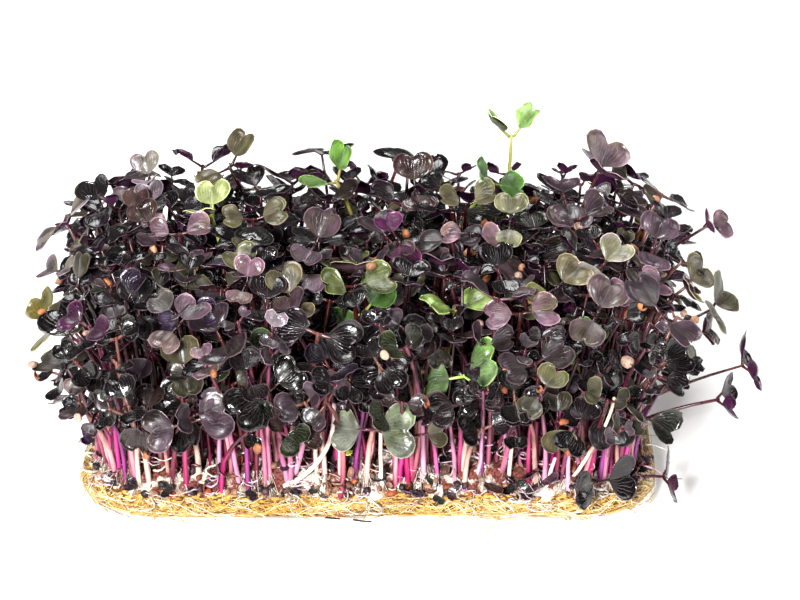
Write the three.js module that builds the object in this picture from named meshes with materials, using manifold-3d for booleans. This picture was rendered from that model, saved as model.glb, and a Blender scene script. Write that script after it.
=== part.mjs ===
// A tray of radish microgreens: a shallow plastic tray, the fibre mat that fills it, and the seedlings that
// stand in the mat. Seedlings whose roots have grown together share a clump, which sits in a plain hole in it.
// Millimetres. +X is along the tray's long side, -Y its front, +Z up.
// The origin is the middle of the tray's underside.
import * as THREE from "three";
import { mergeVertices } from "three/addons/utils/BufferGeometryUtils.js";
import Module from "manifold-3d";

const wasm = await Module();
wasm.setup();

// ---- Driving dimensions ----
const TRAY = { length: 182, width: 114, height: 7, corner: 25, cornerSteps: 6 };
const MAT = { underside: 1.5, top: 12.6, sideSteps: [6, 3] };
const GRID = { columns: 8, rows: 5, inset: 13, jitter: 2, seed: 65 };
const CLUMP = { radius: 6.2, sides: 8, seats: 3, seatRadius: 4 };
const LONE_CLUMP = { radius: 3.1, sides: 6 };
const HOLE = { depth: 8, gap: 0.45, proud: 0.8 };
const STEM = { radius: 0.9, sunk: 3, sections: [0, 0.2, 0.6], collar: 1.2 };
const LEAF = { width: 14.5, length: 8.6, petiole: 3.4, thickness: 0.75 };
const CANOPY = { height: [47, 65], short: [24, 46], shortShare: 0.5, edgeBand: 24, edgeFan: 1.7 };
const LEAN = { anywhere: [1, 7], atEdge: [4, 15], bend: [0.5, 0.8] };
const HABIT = { rise: 0.75, size: [0.82, 1.16], fold: [0.02, 0.4], droop: [0, 0.24], smaller: 0.84 };
const CLEARANCE = { distance: 3, tries: 900, shrinkEvery: 60, shrink: 0.95, stemStep: 3, column: 36 };
const HULL = { radius: 1.7, share: 0.13 };

// One side of the leaf's outline, from its stem to its notch: share of the length, share of the half width.
const LEAF_OUTLINE = [
  [0.2, 0.66],
  [0.66, 1],
  [1.02, 0.52],
];
const LEAF_NOTCH = 0.76;
const LEAF_CENTRE = 0.42;
// Where the clearance between leaves is measured, in the same shares.
const LEAF_SAMPLES = [[0.2, 0.5], [0.5, 0.5], [0.5, 0.96], [0.82, 0.86], [0.84, 0.4], [1.02, 0.52]];

// Seedlings that stand out from the others: clump as [column, row], and where the leaf pair's middle is.
const STRAYS = [
  { clump: [6, 3], tip: [74, 26, 84], bend: 0.7, heading: 1.5, spread: [1, 0.2], size: 1.15 },
  { clump: [7, 3], tip: [95, 26, 76], bend: 0.7, heading: 0.2, spread: [0.15, 0.1], size: 0.85 },
  { clump: [7, 3], tip: [108, 12, 72], bend: 0.5, heading: 0.4, spread: [0.5, 0.9], size: 0.7 },
  { clump: [7, 2], tip: [110, -2, 50], bend: 0.45, heading: 1.2, spread: [0.2, 0.35], size: 1.05 },
  { clump: [7, 1], tip: [119, -14, 36], bend: 0.55, heading: 1.3, spread: [0.2, 0.3], size: 0.95 },
  { clump: [7, 1], tip: [110, -26, 31], bend: 0.6, heading: 1.6, spread: [0.6, 0.5], size: 0.75 },
  { clump: [7, 0], tip: [92, -45, 15], bend: 0.9, heading: 0.9, spread: [0.3, 0.4], size: 0.8 },
  { clump: [6, 0], tip: [70, -59, 23], bend: 0.4, heading: 0.2, spread: [0.1, 0.3], size: 1 },
  { clump: [1, 0], tip: [-53, -61, 46], bend: 0.65, heading: 0.4, spread: [0.15, 0.2], size: 1.1 },
  { clump: [4, 0], tip: [1, -60, 43], bend: 0.72, heading: 0, spread: [0.1, 0.1], size: 1.15 },
  { clump: [0, 2], tip: [-101, -8, 47], bend: 0.5, heading: 1.4, spread: [0.3, 0.5], size: 0.95 },
  { clump: [0, 3], tip: [-99, 20, 69], bend: 0.6, heading: 0.1, spread: [0.1, 0.1], size: 1.05 },
  { clump: [2, 4], tip: [-46, 38, 80], bend: 0.7, heading: 0.6, spread: [0.5, 0.3], size: 1 },
];

// Pale and green seedlings, each in a hole of its own between four clumps: gap as [column, row].
const LONE = [
  { gap: [5, 3], tip: [46, 35, 93], bend: 0.7, heading: 0.3, spread: [0.95, 0.75], size: 0.95 },
  { gap: [4, 3], tip: [40, 24, 81], bend: 0.7, heading: 0.1, spread: [0.3, 0.35], size: 0.9 },
  { gap: [3, 3], tip: [-11, 30, 79], bend: 0.7, heading: 0.5, spread: [0.8, 0.6], size: 1 },
  { gap: [1, 2], tip: [-50, 12, 76], bend: 0.7, heading: 1.2, spread: [1, 0.7], size: 0.9 },
  { gap: [4, 0], tip: [27, -30, 66], bend: 0.6, heading: 0.5, spread: [0.55, 0.4], size: 1 },
  { gap: [5, 0], tip: [29, -46, 53], bend: 0.5, heading: 0.1, spread: [0.45, 0.4], size: 1.1 },
  { gap: [3, 1], tip: [-1, -22, 61], bend: 0.6, heading: 0.8, spread: [0.6, 0.3], size: 0.95 },
  { gap: [6, 0], tip: [63, -40, 58], bend: 0.5, heading: 0.9, spread: [0.4, 0.5], size: 0.85 },
];

// ---- Colours ----
function plain(color, roughness) {
  return new THREE.MeshStandardMaterial({ color, roughness, metalness: 0, flatShading: true });
}

const MATERIALS = {
  tray: plain(0xf2f1ee, 0.35),
  mat: plain(0xcf9c44, 0.95),
  seedling: plain(0x3b2836, 0.4),
  green: plain(0x7fae3c, 0.45),
};

// ---- Random draws ----
// A generator of numbers from 0 to 1 that gives the same run for the same seed.
function seeded(seed) {
  let state = seed >>> 0;
  return () => {
    state = (state + 0x6d2b79f5) >>> 0;
    let t = state;
    t = Math.imul(t ^ (t >>> 15), t | 1);
    t ^= t + Math.imul(t ^ (t >>> 7), t | 61);
    return ((t ^ (t >>> 14)) >>> 0) / 4294967296;
  };
}

const between = (random, [low, high]) => low + (high - low) * random();

// ---- Solids ----
function toSolid(geometry) {
  const bare = geometry.clone();
  bare.deleteAttribute("normal");
  bare.deleteAttribute("uv");
  const merged = mergeVertices(bare, 1e-4);
  const vertProperties = merged.attributes.position.array;
  const triVerts = new Uint32Array(merged.index.array);
  return new wasm.Manifold(new wasm.Mesh({ numProp: 3, vertProperties, triVerts }));
}

function toMesh(name, solid, material) {
  const { vertProperties, triVerts } = solid.getMesh();
  const geometry = new THREE.BufferGeometry();
  geometry.setAttribute("position", new THREE.BufferAttribute(vertProperties, 3));
  geometry.setIndex(new THREE.BufferAttribute(triVerts, 1));
  geometry.computeVertexNormals();
  const mesh = new THREE.Mesh(geometry, material);
  mesh.name = name;
  return mesh;
}

function geometryOf(points, triangles) {
  const geometry = new THREE.BufferGeometry();
  geometry.setAttribute("position", new THREE.Float32BufferAttribute(points.flatMap((p) => p.toArray()), 3));
  geometry.setIndex(triangles);
  return geometry;
}

// A closed body through rings of equally many points, from the lowest ring up, with a fan over each end.
function loft(rings) {
  const count = rings[0].length;
  const points = rings.flat();
  const triangles = [];
  for (let ring = 0; ring + 1 < rings.length; ring++)
    for (let i = 0; i < count; i++) {
      const [a, b] = [ring * count + i, ring * count + ((i + 1) % count)];
      triangles.push(a, b, b + count, a, b + count, a + count);
    }
  for (const [ring, up] of [[0, false], [rings.length - 1, true]]) {
    const centre = points.length;
    const middle = rings[ring].reduce((sum, p) => sum.add(p), new THREE.Vector3()).divideScalar(count);
    points.push(middle);
    for (let i = 0; i < count; i++) {
      const [a, b] = [ring * count + i, ring * count + ((i + 1) % count)];
      triangles.push(centre, ...(up ? [a, b] : [b, a]));
    }
  }
  return geometryOf(points, triangles);
}

// ---- Tray and mat ----
// A rounded rectangle, counter-clockwise, with sideSteps points along each long and short side.
function roundedOutline(halfX, halfY, corner, cornerSteps, [longSteps, shortSteps] = [0, 0]) {
  const outline = [];
  const corners = [[1, 1], [-1, 1], [-1, -1], [1, -1]];
  corners.forEach(([sx, sy], quarter) => {
    for (let step = 0; step <= cornerSteps; step++) {
      const angle = ((quarter + step / cornerSteps) * Math.PI) / 2;
      const x = sx * (halfX - corner) + corner * Math.cos(angle);
      outline.push(new THREE.Vector2(x, sy * (halfY - corner) + corner * Math.sin(angle)));
    }
    const steps = quarter % 2 ? shortSteps : longSteps;
    const [nextX, nextY] = corners[(quarter + 1) % 4];
    const end = new THREE.Vector2(nextX * (halfX - corner), nextY * (halfY - corner));
    const turn = ((quarter + 1) * Math.PI) / 2;
    end.add(new THREE.Vector2(corner * Math.cos(turn), corner * Math.sin(turn)));
    const start = outline[outline.length - 1];
    for (let step = 1; step <= steps; step++)
      outline.push(start.clone().lerp(end, step / (steps + 1)));
  });
  return outline;
}

// One ring of the tray: how far it lies inside the rim's outline, and its height.
function trayRing(inset, z) {
  const { length, width, corner, cornerSteps } = TRAY;
  return roundedOutline(length / 2 - inset, width / 2 - inset, corner - inset, cornerSteps).map(
    (p) => new THREE.Vector3(p.x, p.y, z),
  );
}

function trayGeometry() {
  const rim = TRAY.height;
  const outside = [[5, 0], [3.6, 0.6], [2.2, rim - 1.6], [0.2, rim - 1.2], [0, rim - 0.5], [0.4, rim]];
  const inside = [[2.8, rim], [3.3, rim - 0.6], [4.4, 1.9], [5.6, 1.2]];
  return loft([...outside, ...inside].map(([inset, z]) => trayRing(inset, z)));
}

// One ring of the mat, whose side is lumpy where it shows above the tray.
function matRing(inset, z, lumps) {
  const { length, width, corner, cornerSteps } = TRAY;
  const [halfX, halfY] = [length / 2 - inset, width / 2 - inset];
  return roundedOutline(halfX, halfY, corner - inset, cornerSteps, MAT.sideSteps).map((p) => {
    const wave = lumps * (Math.sin(p.x / 4.1 + z) + Math.sin(p.y / 3.7 - z * 1.7));
    const out = 1 + wave / p.length();
    return new THREE.Vector3(p.x * out, p.y * out, z);
  });
}

function matGeometry() {
  const { underside, top } = MAT;
  const inTray = [[6.4, underside], [4.9, underside + 0.9], [3.8, TRAY.height - 0.3]];
  const bulge = [[2.4, TRAY.height + 0.6], [1.2, TRAY.height + 2], [1.6, top - 2.2], [3.2, top - 0.8]];
  return loft([
    ...inTray.map(([inset, z]) => matRing(inset, z, 0)),
    ...bulge.map(([inset, z]) => matRing(inset, z, 0.25)),
    matRing(5.6, top, 0),
  ]);
}

// ---- Where the clumps stand ----
// Moves a point in until it is at least inset from the tray's outline.
function keepInside(point, inset) {
  const corner = new THREE.Vector2(TRAY.length / 2 - TRAY.corner, TRAY.width / 2 - TRAY.corner);
  const reach = TRAY.corner - inset;
  const out = new THREE.Vector2(Math.abs(point.x), Math.abs(point.y)).sub(corner);
  out.set(Math.min(out.x, reach), Math.min(out.y, reach));
  if (out.x > 0 && out.y > 0 && out.length() > reach) out.setLength(reach);
  return new THREE.Vector2(Math.sign(point.x) * (corner.x + out.x), Math.sign(point.y) * (corner.y + out.y));
}

// How far a point is inside the tray's outline.
function insetOf(point) {
  const corner = new THREE.Vector2(TRAY.length / 2 - TRAY.corner, TRAY.width / 2 - TRAY.corner);
  const out = new THREE.Vector2(Math.abs(point.x), Math.abs(point.y)).sub(corner);
  if (out.x > 0 && out.y > 0) return TRAY.corner - out.length();
  return TRAY.corner - Math.max(out.x, out.y);
}

function gridPoint(column, row) {
  const halfX = TRAY.length / 2 - GRID.inset;
  const halfY = TRAY.width / 2 - GRID.inset;
  const x = -halfX + (2 * halfX * column) / (GRID.columns - 1);
  return new THREE.Vector2(x, -halfY + (2 * halfY * row) / (GRID.rows - 1));
}

function clumpCentres() {
  const random = seeded(GRID.seed);
  const centres = [];
  for (let row = 0; row < GRID.rows; row++)
    for (let column = 0; column < GRID.columns; column++) {
      const point = gridPoint(column, row);
      point.x += (random() * 2 - 1) * GRID.jitter;
      point.y += (random() * 2 - 1) * GRID.jitter;
      centres.push({ column, row, turn: random() * Math.PI * 2, at: keepInside(point, GRID.inset) });
    }
  return centres;
}

// The plain prism that a clump's roots fill; grown by gap it is the hole that they stand in.
function plugGeometry(at, { radius, sides }, gap = 0) {
  const bottom = MAT.top - HOLE.depth - gap;
  const top = MAT.top + HOLE.proud + gap;
  return new THREE.CylinderGeometry(radius + gap, radius + gap, top - bottom, sides)
    .rotateX(Math.PI / 2).translate(at.x, at.y, (top + bottom) / 2);
}

// ---- Seedlings ----
// The stem's line, and the axes of the leaf pair at its tip: side goes from leaf to leaf, front across them.
function layOut({ root, tip, bend, heading, spread, size, fold, droop }) {
  const middle = new THREE.Vector3(root.x, root.y, root.z + (tip.z - root.z) * bend);
  const curve = new THREE.QuadraticBezierCurve3(root, middle, tip);
  const along = tip.clone().sub(middle).normalize();
  const side = new THREE.Vector3(Math.cos(heading), Math.sin(heading), 0);
  side.addScaledVector(along, -side.dot(along)).normalize();
  const front = along.clone().cross(side);
  const leaves = [1, -1].map((sign, i) => {
    const rise = spread[i];
    const out = side.clone().multiplyScalar(sign * Math.cos(rise)).addScaledVector(along, Math.sin(rise));
    const up = side.clone().multiplyScalar(-sign * Math.sin(rise)).addScaledVector(along, Math.cos(rise));
    const across = front.clone().multiplyScalar(sign);
    const from = tip.clone().addScaledVector(side, sign * STEM.radius);
    const scale = size * (i ? HABIT.smaller : 1);
    return { sign, out, up, across, from, length: LEAF.length * scale, halfWidth: (LEAF.width / 2) * scale,
      petiole: LEAF.petiole * size, fold, droop };
  });
  return { curve, along, side, front, leaves };
}

// A point of a leaf's upper face, at a share of its length and of its half width.
function leafPoint(leaf, lengthShare, widthShare) {
  const reach = leaf.petiole + leaf.length * lengthShare;
  const width = leaf.halfWidth * widthShare;
  const rise = leaf.fold * Math.abs(width) - (leaf.droop * reach * reach) / (leaf.petiole + leaf.length);
  return leaf.from.clone().addScaledVector(leaf.out, reach).addScaledVector(leaf.across, width)
    .addScaledVector(leaf.up, rise);
}

// Points spread over a seedling, by which it is kept clear of the others.
function samplesOf(plant) {
  const points = [];
  const steps = Math.ceil(plant.curve.v0.distanceTo(plant.curve.v2) / CLEARANCE.stemStep);
  for (let step = 0; step <= steps; step++) points.push(plant.curve.getPoint(step / steps));
  for (const leaf of plant.leaves) {
    for (const share of [-0.2, 0.1, 0.4, LEAF_NOTCH]) points.push(leafPoint(leaf, share, 0));
    for (const side of [-1, 1])
      for (const [length, width] of LEAF_SAMPLES) points.push(leafPoint(leaf, length, width * side));
  }
  return points;
}

// The leaf's outline, counter-clockwise from above, and its centre, where the blade dips.
function bladePoints(leaf) {
  const right = LEAF_OUTLINE.map(([length, width]) => leafPoint(leaf, length, -width));
  const left = LEAF_OUTLINE.map(([length, width]) => leafPoint(leaf, length, width)).reverse();
  const outline = [...right, leafPoint(leaf, LEAF_NOTCH, 0), ...left];
  return { outline, centre: leafPoint(leaf, LEAF_CENTRE, 0) };
}

// One closed body: a four-sided stem whose topmost section carries a blade on each side.
function seedlingGeometry(plant) {
  const points = [];
  const triangles = [];
  const add = (point) => points.push(point) - 1;
  const quad = (a, b, c, d) => triangles.push(a, b, c, a, c, d);
  const corners = [[1, 1], [-1, 1], [-1, -1], [1, -1]];
  const [aside, ahead] = [plant.side, plant.front].map((axis) => axis.clone().multiplyScalar(STEM.radius));
  const section = (centre) =>
    corners.map(([s, f]) => add(centre.clone().addScaledVector(aside, s).addScaledVector(ahead, f)));

  const { v0: root, v2: tip } = plant.curve;
  const centres = STEM.sections.map((t) => plant.curve.getPoint(t));
  centres[0] = new THREE.Vector3(root.x, root.y, root.z - STEM.sunk);
  const rings = [...centres, tip.clone().addScaledVector(plant.along, -STEM.collar), tip].map(section);
  rings.slice(0, -1).forEach((lower, k) => {
    const upper = rings[k + 1];
    const carriesLeaves = k === rings.length - 2;
    for (let i = 0; i < 4; i++) {
      const j = (i + 1) % 4;
      if (!carriesLeaves || i % 2 === 0) quad(lower[i], lower[j], upper[j], upper[i]);
    }
  });
  const [bottom, collar, top] = [rings[0], rings[rings.length - 2], rings[rings.length - 1]];
  quad(bottom[3], bottom[2], bottom[1], bottom[0]);
  quad(top[0], top[1], top[2], top[3]);

  for (const leaf of plant.leaves) {
    const [start, end] = leaf.sign > 0 ? [3, 0] : [1, 2];
    const { outline, centre } = bladePoints(leaf);
    const under = (point) => point.clone().addScaledVector(leaf.up, -LEAF.thickness);
    const upper = [top[start], ...outline.map(add), top[end]];
    const lower = [collar[start], ...outline.map((p) => add(under(p))), collar[end]];
    const [upperCentre, lowerCentre] = [add(centre), add(under(centre))];
    upper.forEach((a, i) => {
      const next = (i + 1) % upper.length;
      triangles.push(upperCentre, a, upper[next], lowerCentre, lower[next], lower[i]);
      if (next) quad(lower[i], lower[next], upper[next], a);
    });
  }
  return geometryOf(points, triangles);
}

// Keeps every seedling's sample points, so that a new one can be tested against those of the others.
class Space {
  constructor(size) {
    this.size = size;
    this.cells = new Map();
  }
  cell(point) {
    return [point.x, point.y, point.z].map((v) => Math.floor(v / this.size));
  }
  add(points, owner) {
    for (const point of points) {
      const key = this.cell(point).join();
      if (!this.cells.has(key)) this.cells.set(key, []);
      this.cells.get(key).push({ point, owner });
    }
  }
  isClear(points, owner) {
    const reach = [-1, 0, 1];
    return points.every((point) => {
      const [x, y, z] = this.cell(point);
      return reach.every((i) => reach.every((j) => reach.every((k) => {
        const near = this.cells.get([x + i, y + j, z + k].join()) ?? [];
        return near.every((other) =>
          other.owner === owner || other.point.distanceToSquared(point) >= this.size * this.size);
      })));
    });
  }
}

// The points above a root that are kept free for its stem until it grows.
function columnOf(root) {
  const steps = Math.ceil(CLEARANCE.column / CLEARANCE.stemStep);
  return Array.from({ length: steps }, (_, i) => root.clone().setZ(root.z + i * CLEARANCE.stemStep));
}

// How much a seedling at this point belongs to the tray's edge, from 0 to 1, and the way out from there.
function edgeOf(point) {
  const share = 1 - Math.min(1, Math.max(0, insetOf(point) - 6) / CANOPY.edgeBand);
  const out = point.clone().sub(keepInside(point, TRAY.corner - 1));
  return { share, outward: Math.atan2(out.y, out.x) };
}

function drawSeedling(root, random, size) {
  const { share, outward } = edgeOf(new THREE.Vector2(root.x, root.y));
  const isShort = random() < share * CANOPY.shortShare;
  const height = between(random, isShort ? CANOPY.short : CANOPY.height);
  const fan = (random() - 0.5) * CANOPY.edgeFan;
  const way = random() < share ? outward + fan : random() * Math.PI * 2;
  const lean = between(random, LEAN.anywhere) + share * between(random, LEAN.atEdge);
  return layOut({
    root,
    tip: new THREE.Vector3(root.x + lean * Math.cos(way), root.y + lean * Math.sin(way), root.z + height),
    bend: between(random, LEAN.bend),
    heading: random() * Math.PI * 2,
    spread: [HABIT.rise * random() ** 1.4, HABIT.rise * random() ** 1.4],
    size: size * between(random, HABIT.size),
    fold: between(random, HABIT.fold),
    droop: between(random, HABIT.droop),
  });
}

const rootAt = (x, y) => new THREE.Vector3(x, y, MAT.top);

// A seedling that is given its place, such as a stray or a green one.
function placeKnown(root, known) {
  const tip = new THREE.Vector3(...known.tip);
  return layOut({ root, fold: 0.16, droop: 0.06, ...known, tip });
}

// The others are drawn again until they are clear, with smaller leaves each time that many draws have failed.
function placeDrawn(seat, space) {
  const random = seeded(GRID.seed * 7919 + seat.number);
  let size = 1;
  for (let attempt = 1; attempt <= CLEARANCE.tries; attempt++) {
    const plant = drawSeedling(seat.root, random, size);
    if (space.isClear(samplesOf(plant), seat)) return plant;
    if (attempt % CLEARANCE.shrinkEvery === 0) size *= CLEARANCE.shrink;
  }
  return null;
}

// Every clump's seats, the first seat of each clump before the second ones, so that growth is spread evenly.
function seatsOf(clumps) {
  const seats = [];
  for (let place = 0; place < CLUMP.seats; place++)
    for (const clump of clumps) {
      const angle = clump.turn + (place / CLUMP.seats) * Math.PI * 2;
      const [x, y] = [Math.cos(angle), Math.sin(angle)].map((share) => share * CLUMP.seatRadius);
      seats.push({ clump, root: rootAt(clump.at.x + x, clump.at.y + y), number: seats.length, plant: null });
    }
  return seats;
}

// The free seat of the stray's clump that lies nearest to where its tip ends up.
function straySeat(seats, { clump: [column, row], tip: [x, y] }) {
  const free = seats.filter(({ clump, plant }) => clump.column === column && clump.row === row && !plant);
  const away = ({ root }) => Math.hypot(root.x - x, root.y - y);
  return free.reduce((best, seat) => (away(seat) < away(best) ? seat : best));
}

// Grows every seedling: the given ones first, then the others round them. Returns the lone ones.
function growSeedlings(clumps) {
  const space = new Space(CLEARANCE.distance);
  const settle = (seat, plant) => {
    seat.plant = plant;
    space.add(samplesOf(plant), seat);
  };
  const seats = seatsOf(clumps);
  const lone = LONE.map((known) => {
    const [low, high] = [gridPoint(...known.gap), gridPoint(known.gap[0] + 1, known.gap[1] + 1)];
    const at = low.add(high).divideScalar(2);
    const seat = { at, root: rootAt(at.x, at.y) };
    settle(seat, placeKnown(seat.root, known));
    return { at, plants: [seat.plant] };
  });
  for (const known of STRAYS) {
    const seat = straySeat(seats, known);
    settle(seat, placeKnown(seat.root, known));
  }
  const drawn = seats.filter((seat) => !seat.plant);
  for (const seat of drawn) space.add(columnOf(seat.root), seat);
  for (const seat of drawn) {
    const plant = placeDrawn(seat, space);
    if (plant) settle(seat, plant);
  }
  for (const clump of clumps)
    clump.plants = seats.filter((seat) => seat.clump === clump && seat.plant).map((seat) => seat.plant);
  return lone;
}

// An empty seed coat that still clings to a leaf's lobe.
function hullGeometry(leaf) {
  const at = leafPoint(leaf, LEAF_OUTLINE[2][0], LEAF_OUTLINE[2][1]);
  return new THREE.IcosahedronGeometry(HULL.radius, 0).scale(1, 1, 0.8).translate(at.x, at.y, at.z);
}

function clumpSolid({ at, plants }, shape, random) {
  let solid = toSolid(plugGeometry(at, shape));
  for (const plant of plants) {
    solid = solid.add(toSolid(seedlingGeometry(plant)));
    if (random() < HULL.share) solid = solid.add(toSolid(hullGeometry(plant.leaves[0])));
  }
  return solid;
}

// ---- The whole tray ----
const group = new THREE.Group();
const clumps = clumpCentres();
const lone = growSeedlings(clumps);

group.add(toMesh("tray", toSolid(trayGeometry()), MATERIALS.tray));

let mat = toSolid(matGeometry());
for (const clump of clumps) mat = mat.subtract(toSolid(plugGeometry(clump.at, CLUMP, HOLE.gap)));
for (const plug of lone) mat = mat.subtract(toSolid(plugGeometry(plug.at, LONE_CLUMP, HOLE.gap)));
group.add(toMesh("fibre_mat", mat, MATERIALS.mat));

const hullDraws = seeded(GRID.seed);
for (const clump of clumps) {
  const solid = clumpSolid(clump, CLUMP, hullDraws);
  group.add(toMesh(`seedlings_${clump.row + 1}_${clump.column + 1}`, solid, MATERIALS.seedling));
}
const noHull = () => 1;
lone.forEach((plug, i) => {
  const solid = clumpSolid(plug, LONE_CLUMP, noHull);
  group.add(toMesh(`green_seedling_${i + 1}`, solid, MATERIALS.green));
});

export default group;
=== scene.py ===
"""The looks of a tray of radish microgreens: veined, glossy seed leaves over a golden mat of fibre."""
import math
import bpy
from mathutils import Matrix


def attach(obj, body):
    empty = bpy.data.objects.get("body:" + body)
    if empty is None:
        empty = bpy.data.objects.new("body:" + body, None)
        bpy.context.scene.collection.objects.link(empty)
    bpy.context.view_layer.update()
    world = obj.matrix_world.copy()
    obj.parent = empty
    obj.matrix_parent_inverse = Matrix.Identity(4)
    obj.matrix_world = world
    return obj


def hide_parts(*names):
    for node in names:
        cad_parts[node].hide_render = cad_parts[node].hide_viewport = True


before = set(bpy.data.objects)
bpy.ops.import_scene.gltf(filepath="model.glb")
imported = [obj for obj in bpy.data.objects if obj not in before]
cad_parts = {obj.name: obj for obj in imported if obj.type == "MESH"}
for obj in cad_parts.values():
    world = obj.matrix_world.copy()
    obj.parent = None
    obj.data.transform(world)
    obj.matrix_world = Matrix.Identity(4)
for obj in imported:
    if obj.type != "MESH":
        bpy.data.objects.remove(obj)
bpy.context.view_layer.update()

from types import SimpleNamespace as Named

import bpy
import numpy as np
from mathutils import Vector

MM = 0.001

# ---- Driving dimensions, in millimetres: as in the model's source, but with thinner leaves ----
TRAY = Named(length=182, width=114, height=7, corner=25)
MAT = Named(top=12.6)
GRID = Named(columns=8, rows=5, inset=13, jitter=2, seed=65)
CLUMP = Named(radius=6.2, seats=3, seat_radius=4)
LONE_CLUMP = Named(radius=3.1)
HOLE = Named(depth=8)
STEM = Named(radius=0.9, sunk=3)
LEAF = Named(width=14.5, length=8.6, petiole=3.4, thickness=0.45)
CANOPY = Named(height=(47, 65), short=(24, 46), short_share=0.5, edge_start=6, edge_band=24, edge_fan=1.7)
LEAN = Named(anywhere=(1, 7), at_edge=(4, 15), bend=(0.5, 0.8))
HABIT = Named(rise=0.75, rise_power=1.4, size=(0.82, 1.16), fold=(0.02, 0.4), droop=(0, 0.24), smaller=0.84)
GIVEN_HABIT = Named(fold=0.16, droop=0.06)
CLEARANCE = Named(distance=3, tries=900, shrink_every=60, shrink=0.95, stem_step=3, column=36)
LEAF_NOTCH = 0.76
LEAF_SAMPLES = [(0.2, 0.5), (0.5, 0.5), (0.5, 0.96), (0.82, 0.86), (0.84, 0.4), (1.02, 0.52)]

CAMERA = Named(target=(10, 0, 51.7), distance=650, elevation=31, lens=91.7, sensor=36)


def camera_way():
    """The way from what the camera looks at to the camera."""
    rise = math.radians(CAMERA.elevation)
    return np.array([0, -math.cos(rise), math.sin(rise)])


# ---- Colours and looks ----
def linear(code):
    """The linear colour of an sRGB hex code."""
    values = [int(code[i:i + 2], 16) / 255 for i in (1, 3, 5)]
    return np.array([v / 12.92 if v <= 0.04045 else ((v + 0.055) / 1.055) ** 2.4 for v in values])


def palette(codes):
    return [linear(code) for code in codes.split()]


def look(code, gloss, share=0.0):
    """A colour, how glossy it is from 0 to 1, and how common it is."""
    return Named(colour=linear(code), gloss=gloss, share=share)


def named_rows(fields, table):
    """Gives the values in each row of a table their names."""
    return [Named(**dict(zip(fields.split(), row))) for row in table]


LEAF_LOOKS = [
    look("#1a161a", 1.0, share=0.23),
    look("#1d211b", 0.9, share=0.10),
    look("#2f1f29", 0.8, share=0.15),
    look("#40292a", 0.6, share=0.11),
    look("#543f4b", 0.4, share=0.11),
    look("#625a3f", 0.35, share=0.08),
    look("#333d22", 0.7, share=0.05),
    look("#765766", 0.35, share=0.05),
    look("#3a2a45", 0.7, share=0.05),
    look("#7a6a74", 0.5, share=0.02),
    look("#7c7a57", 0.4, share=0.03),
    look("#4f1843", 0.5, share=0.01),
]
BLACK, _, PLUM_BLACK, BROWN, MAUVE_GREY, OLIVE_GREY, DARK_GREEN, MAUVE, VIOLET = LEAF_LOOKS[:9]
SILVER, SAGE, MAGENTA = LEAF_LOOKS[9:]
ROSE = look("#7a5866", 0.45)
MUSTARD = look("#6f6224", 0.4)
GREY_GREEN = look("#8b8f7c", 0.4)

# Seedlings that stand out from the others: their clump as (column, row), where the leaf pair's middle is,
# how the stem bends, which way the leaves point, how far each is raised, and their size.
STRAYS = named_rows("clump tip bend heading spread size look", [
    ((6, 3), (74, 26, 84), 0.7, 1.5, (1, 0.2), 1.15, look("#634e55", 0.35)),
    ((7, 3), (95, 26, 76), 0.7, 0.2, (0.15, 0.1), 0.85, BLACK),
    ((7, 3), (108, 12, 72), 0.5, 0.4, (0.5, 0.9), 0.7, MAUVE),
    ((7, 2), (110, -2, 50), 0.45, 1.2, (0.2, 0.35), 1.05, OLIVE_GREY),
    ((7, 1), (119, -14, 36), 0.55, 1.3, (0.2, 0.3), 0.95, BLACK),
    ((7, 1), (110, -26, 31), 0.6, 1.6, (0.6, 0.5), 0.75, PLUM_BLACK),
    ((7, 0), (92, -45, 15), 0.9, 0.9, (0.3, 0.4), 0.8, BLACK),
    ((6, 0), (70, -59, 23), 0.4, 0.2, (0.1, 0.3), 1, PLUM_BLACK),
    ((1, 0), (-53, -61, 46), 0.65, 0.4, (0.15, 0.2), 1.1, MAUVE_GREY),
    ((4, 0), (1, -60, 43), 0.72, 0, (0.1, 0.1), 1.15, GREY_GREEN),
    ((0, 2), (-101, -8, 47), 0.5, 1.4, (0.3, 0.5), 0.95, MUSTARD),
    ((0, 3), (-99, 20, 69), 0.6, 0.1, (0.1, 0.1), 1.05, SILVER),
    ((2, 4), (-46, 38, 80), 0.7, 0.6, (0.5, 0.3), 1, OLIVE_GREY),
])

# Pale and green seedlings, each between four clumps.
LONE = named_rows("gap tip bend heading spread size look", [
    ((5, 3), (46, 35, 93), 0.7, 0.3, (0.95, 0.75), 0.95, look("#a6c680", 0.5)),
    ((4, 3), (40, 24, 81), 0.7, 0.1, (0.3, 0.35), 0.9, look("#557f38", 0.5)),
    ((3, 3), (-11, 30, 79), 0.7, 0.5, (0.8, 0.6), 1, look("#66893f", 0.5)),
    ((1, 2), (-50, 12, 76), 0.7, 1.2, (1, 0.7), 0.9, look("#a8b274", 0.5)),
    ((4, 0), (27, -30, 66), 0.6, 0.5, (0.55, 0.4), 1, look("#8aa255", 0.5)),
    ((5, 0), (29, -46, 53), 0.5, 0.1, (0.45, 0.4), 1.1, look("#74905a", 0.5)),
    ((3, 1), (-1, -22, 61), 0.6, 0.8, (0.6, 0.3), 0.95, look("#4f7434", 0.5)),
    ((6, 0), (63, -40, 58), 0.5, 0.9, (0.4, 0.5), 0.85, look("#5a8540", 0.5)),
])


# ---- Random draws: the same run for the same seed, as in the model's source ----
WORD = 0xFFFFFFFF


def seeded(seed):
    state = seed & WORD

    def draw():
        nonlocal state
        state = (state + 0x6D2B79F5) & WORD
        t = state
        t = ((t ^ (t >> 15)) * (t | 1)) & WORD
        t ^= (t + (((t ^ (t >> 7)) * (t | 61)) & WORD)) & WORD
        return (t ^ (t >> 14)) / (WORD + 1)

    return draw


def between(random, span):
    low, high = span
    return low + (high - low) * random()


def choose(things, random):
    return things[int(random() * len(things))]


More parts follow.
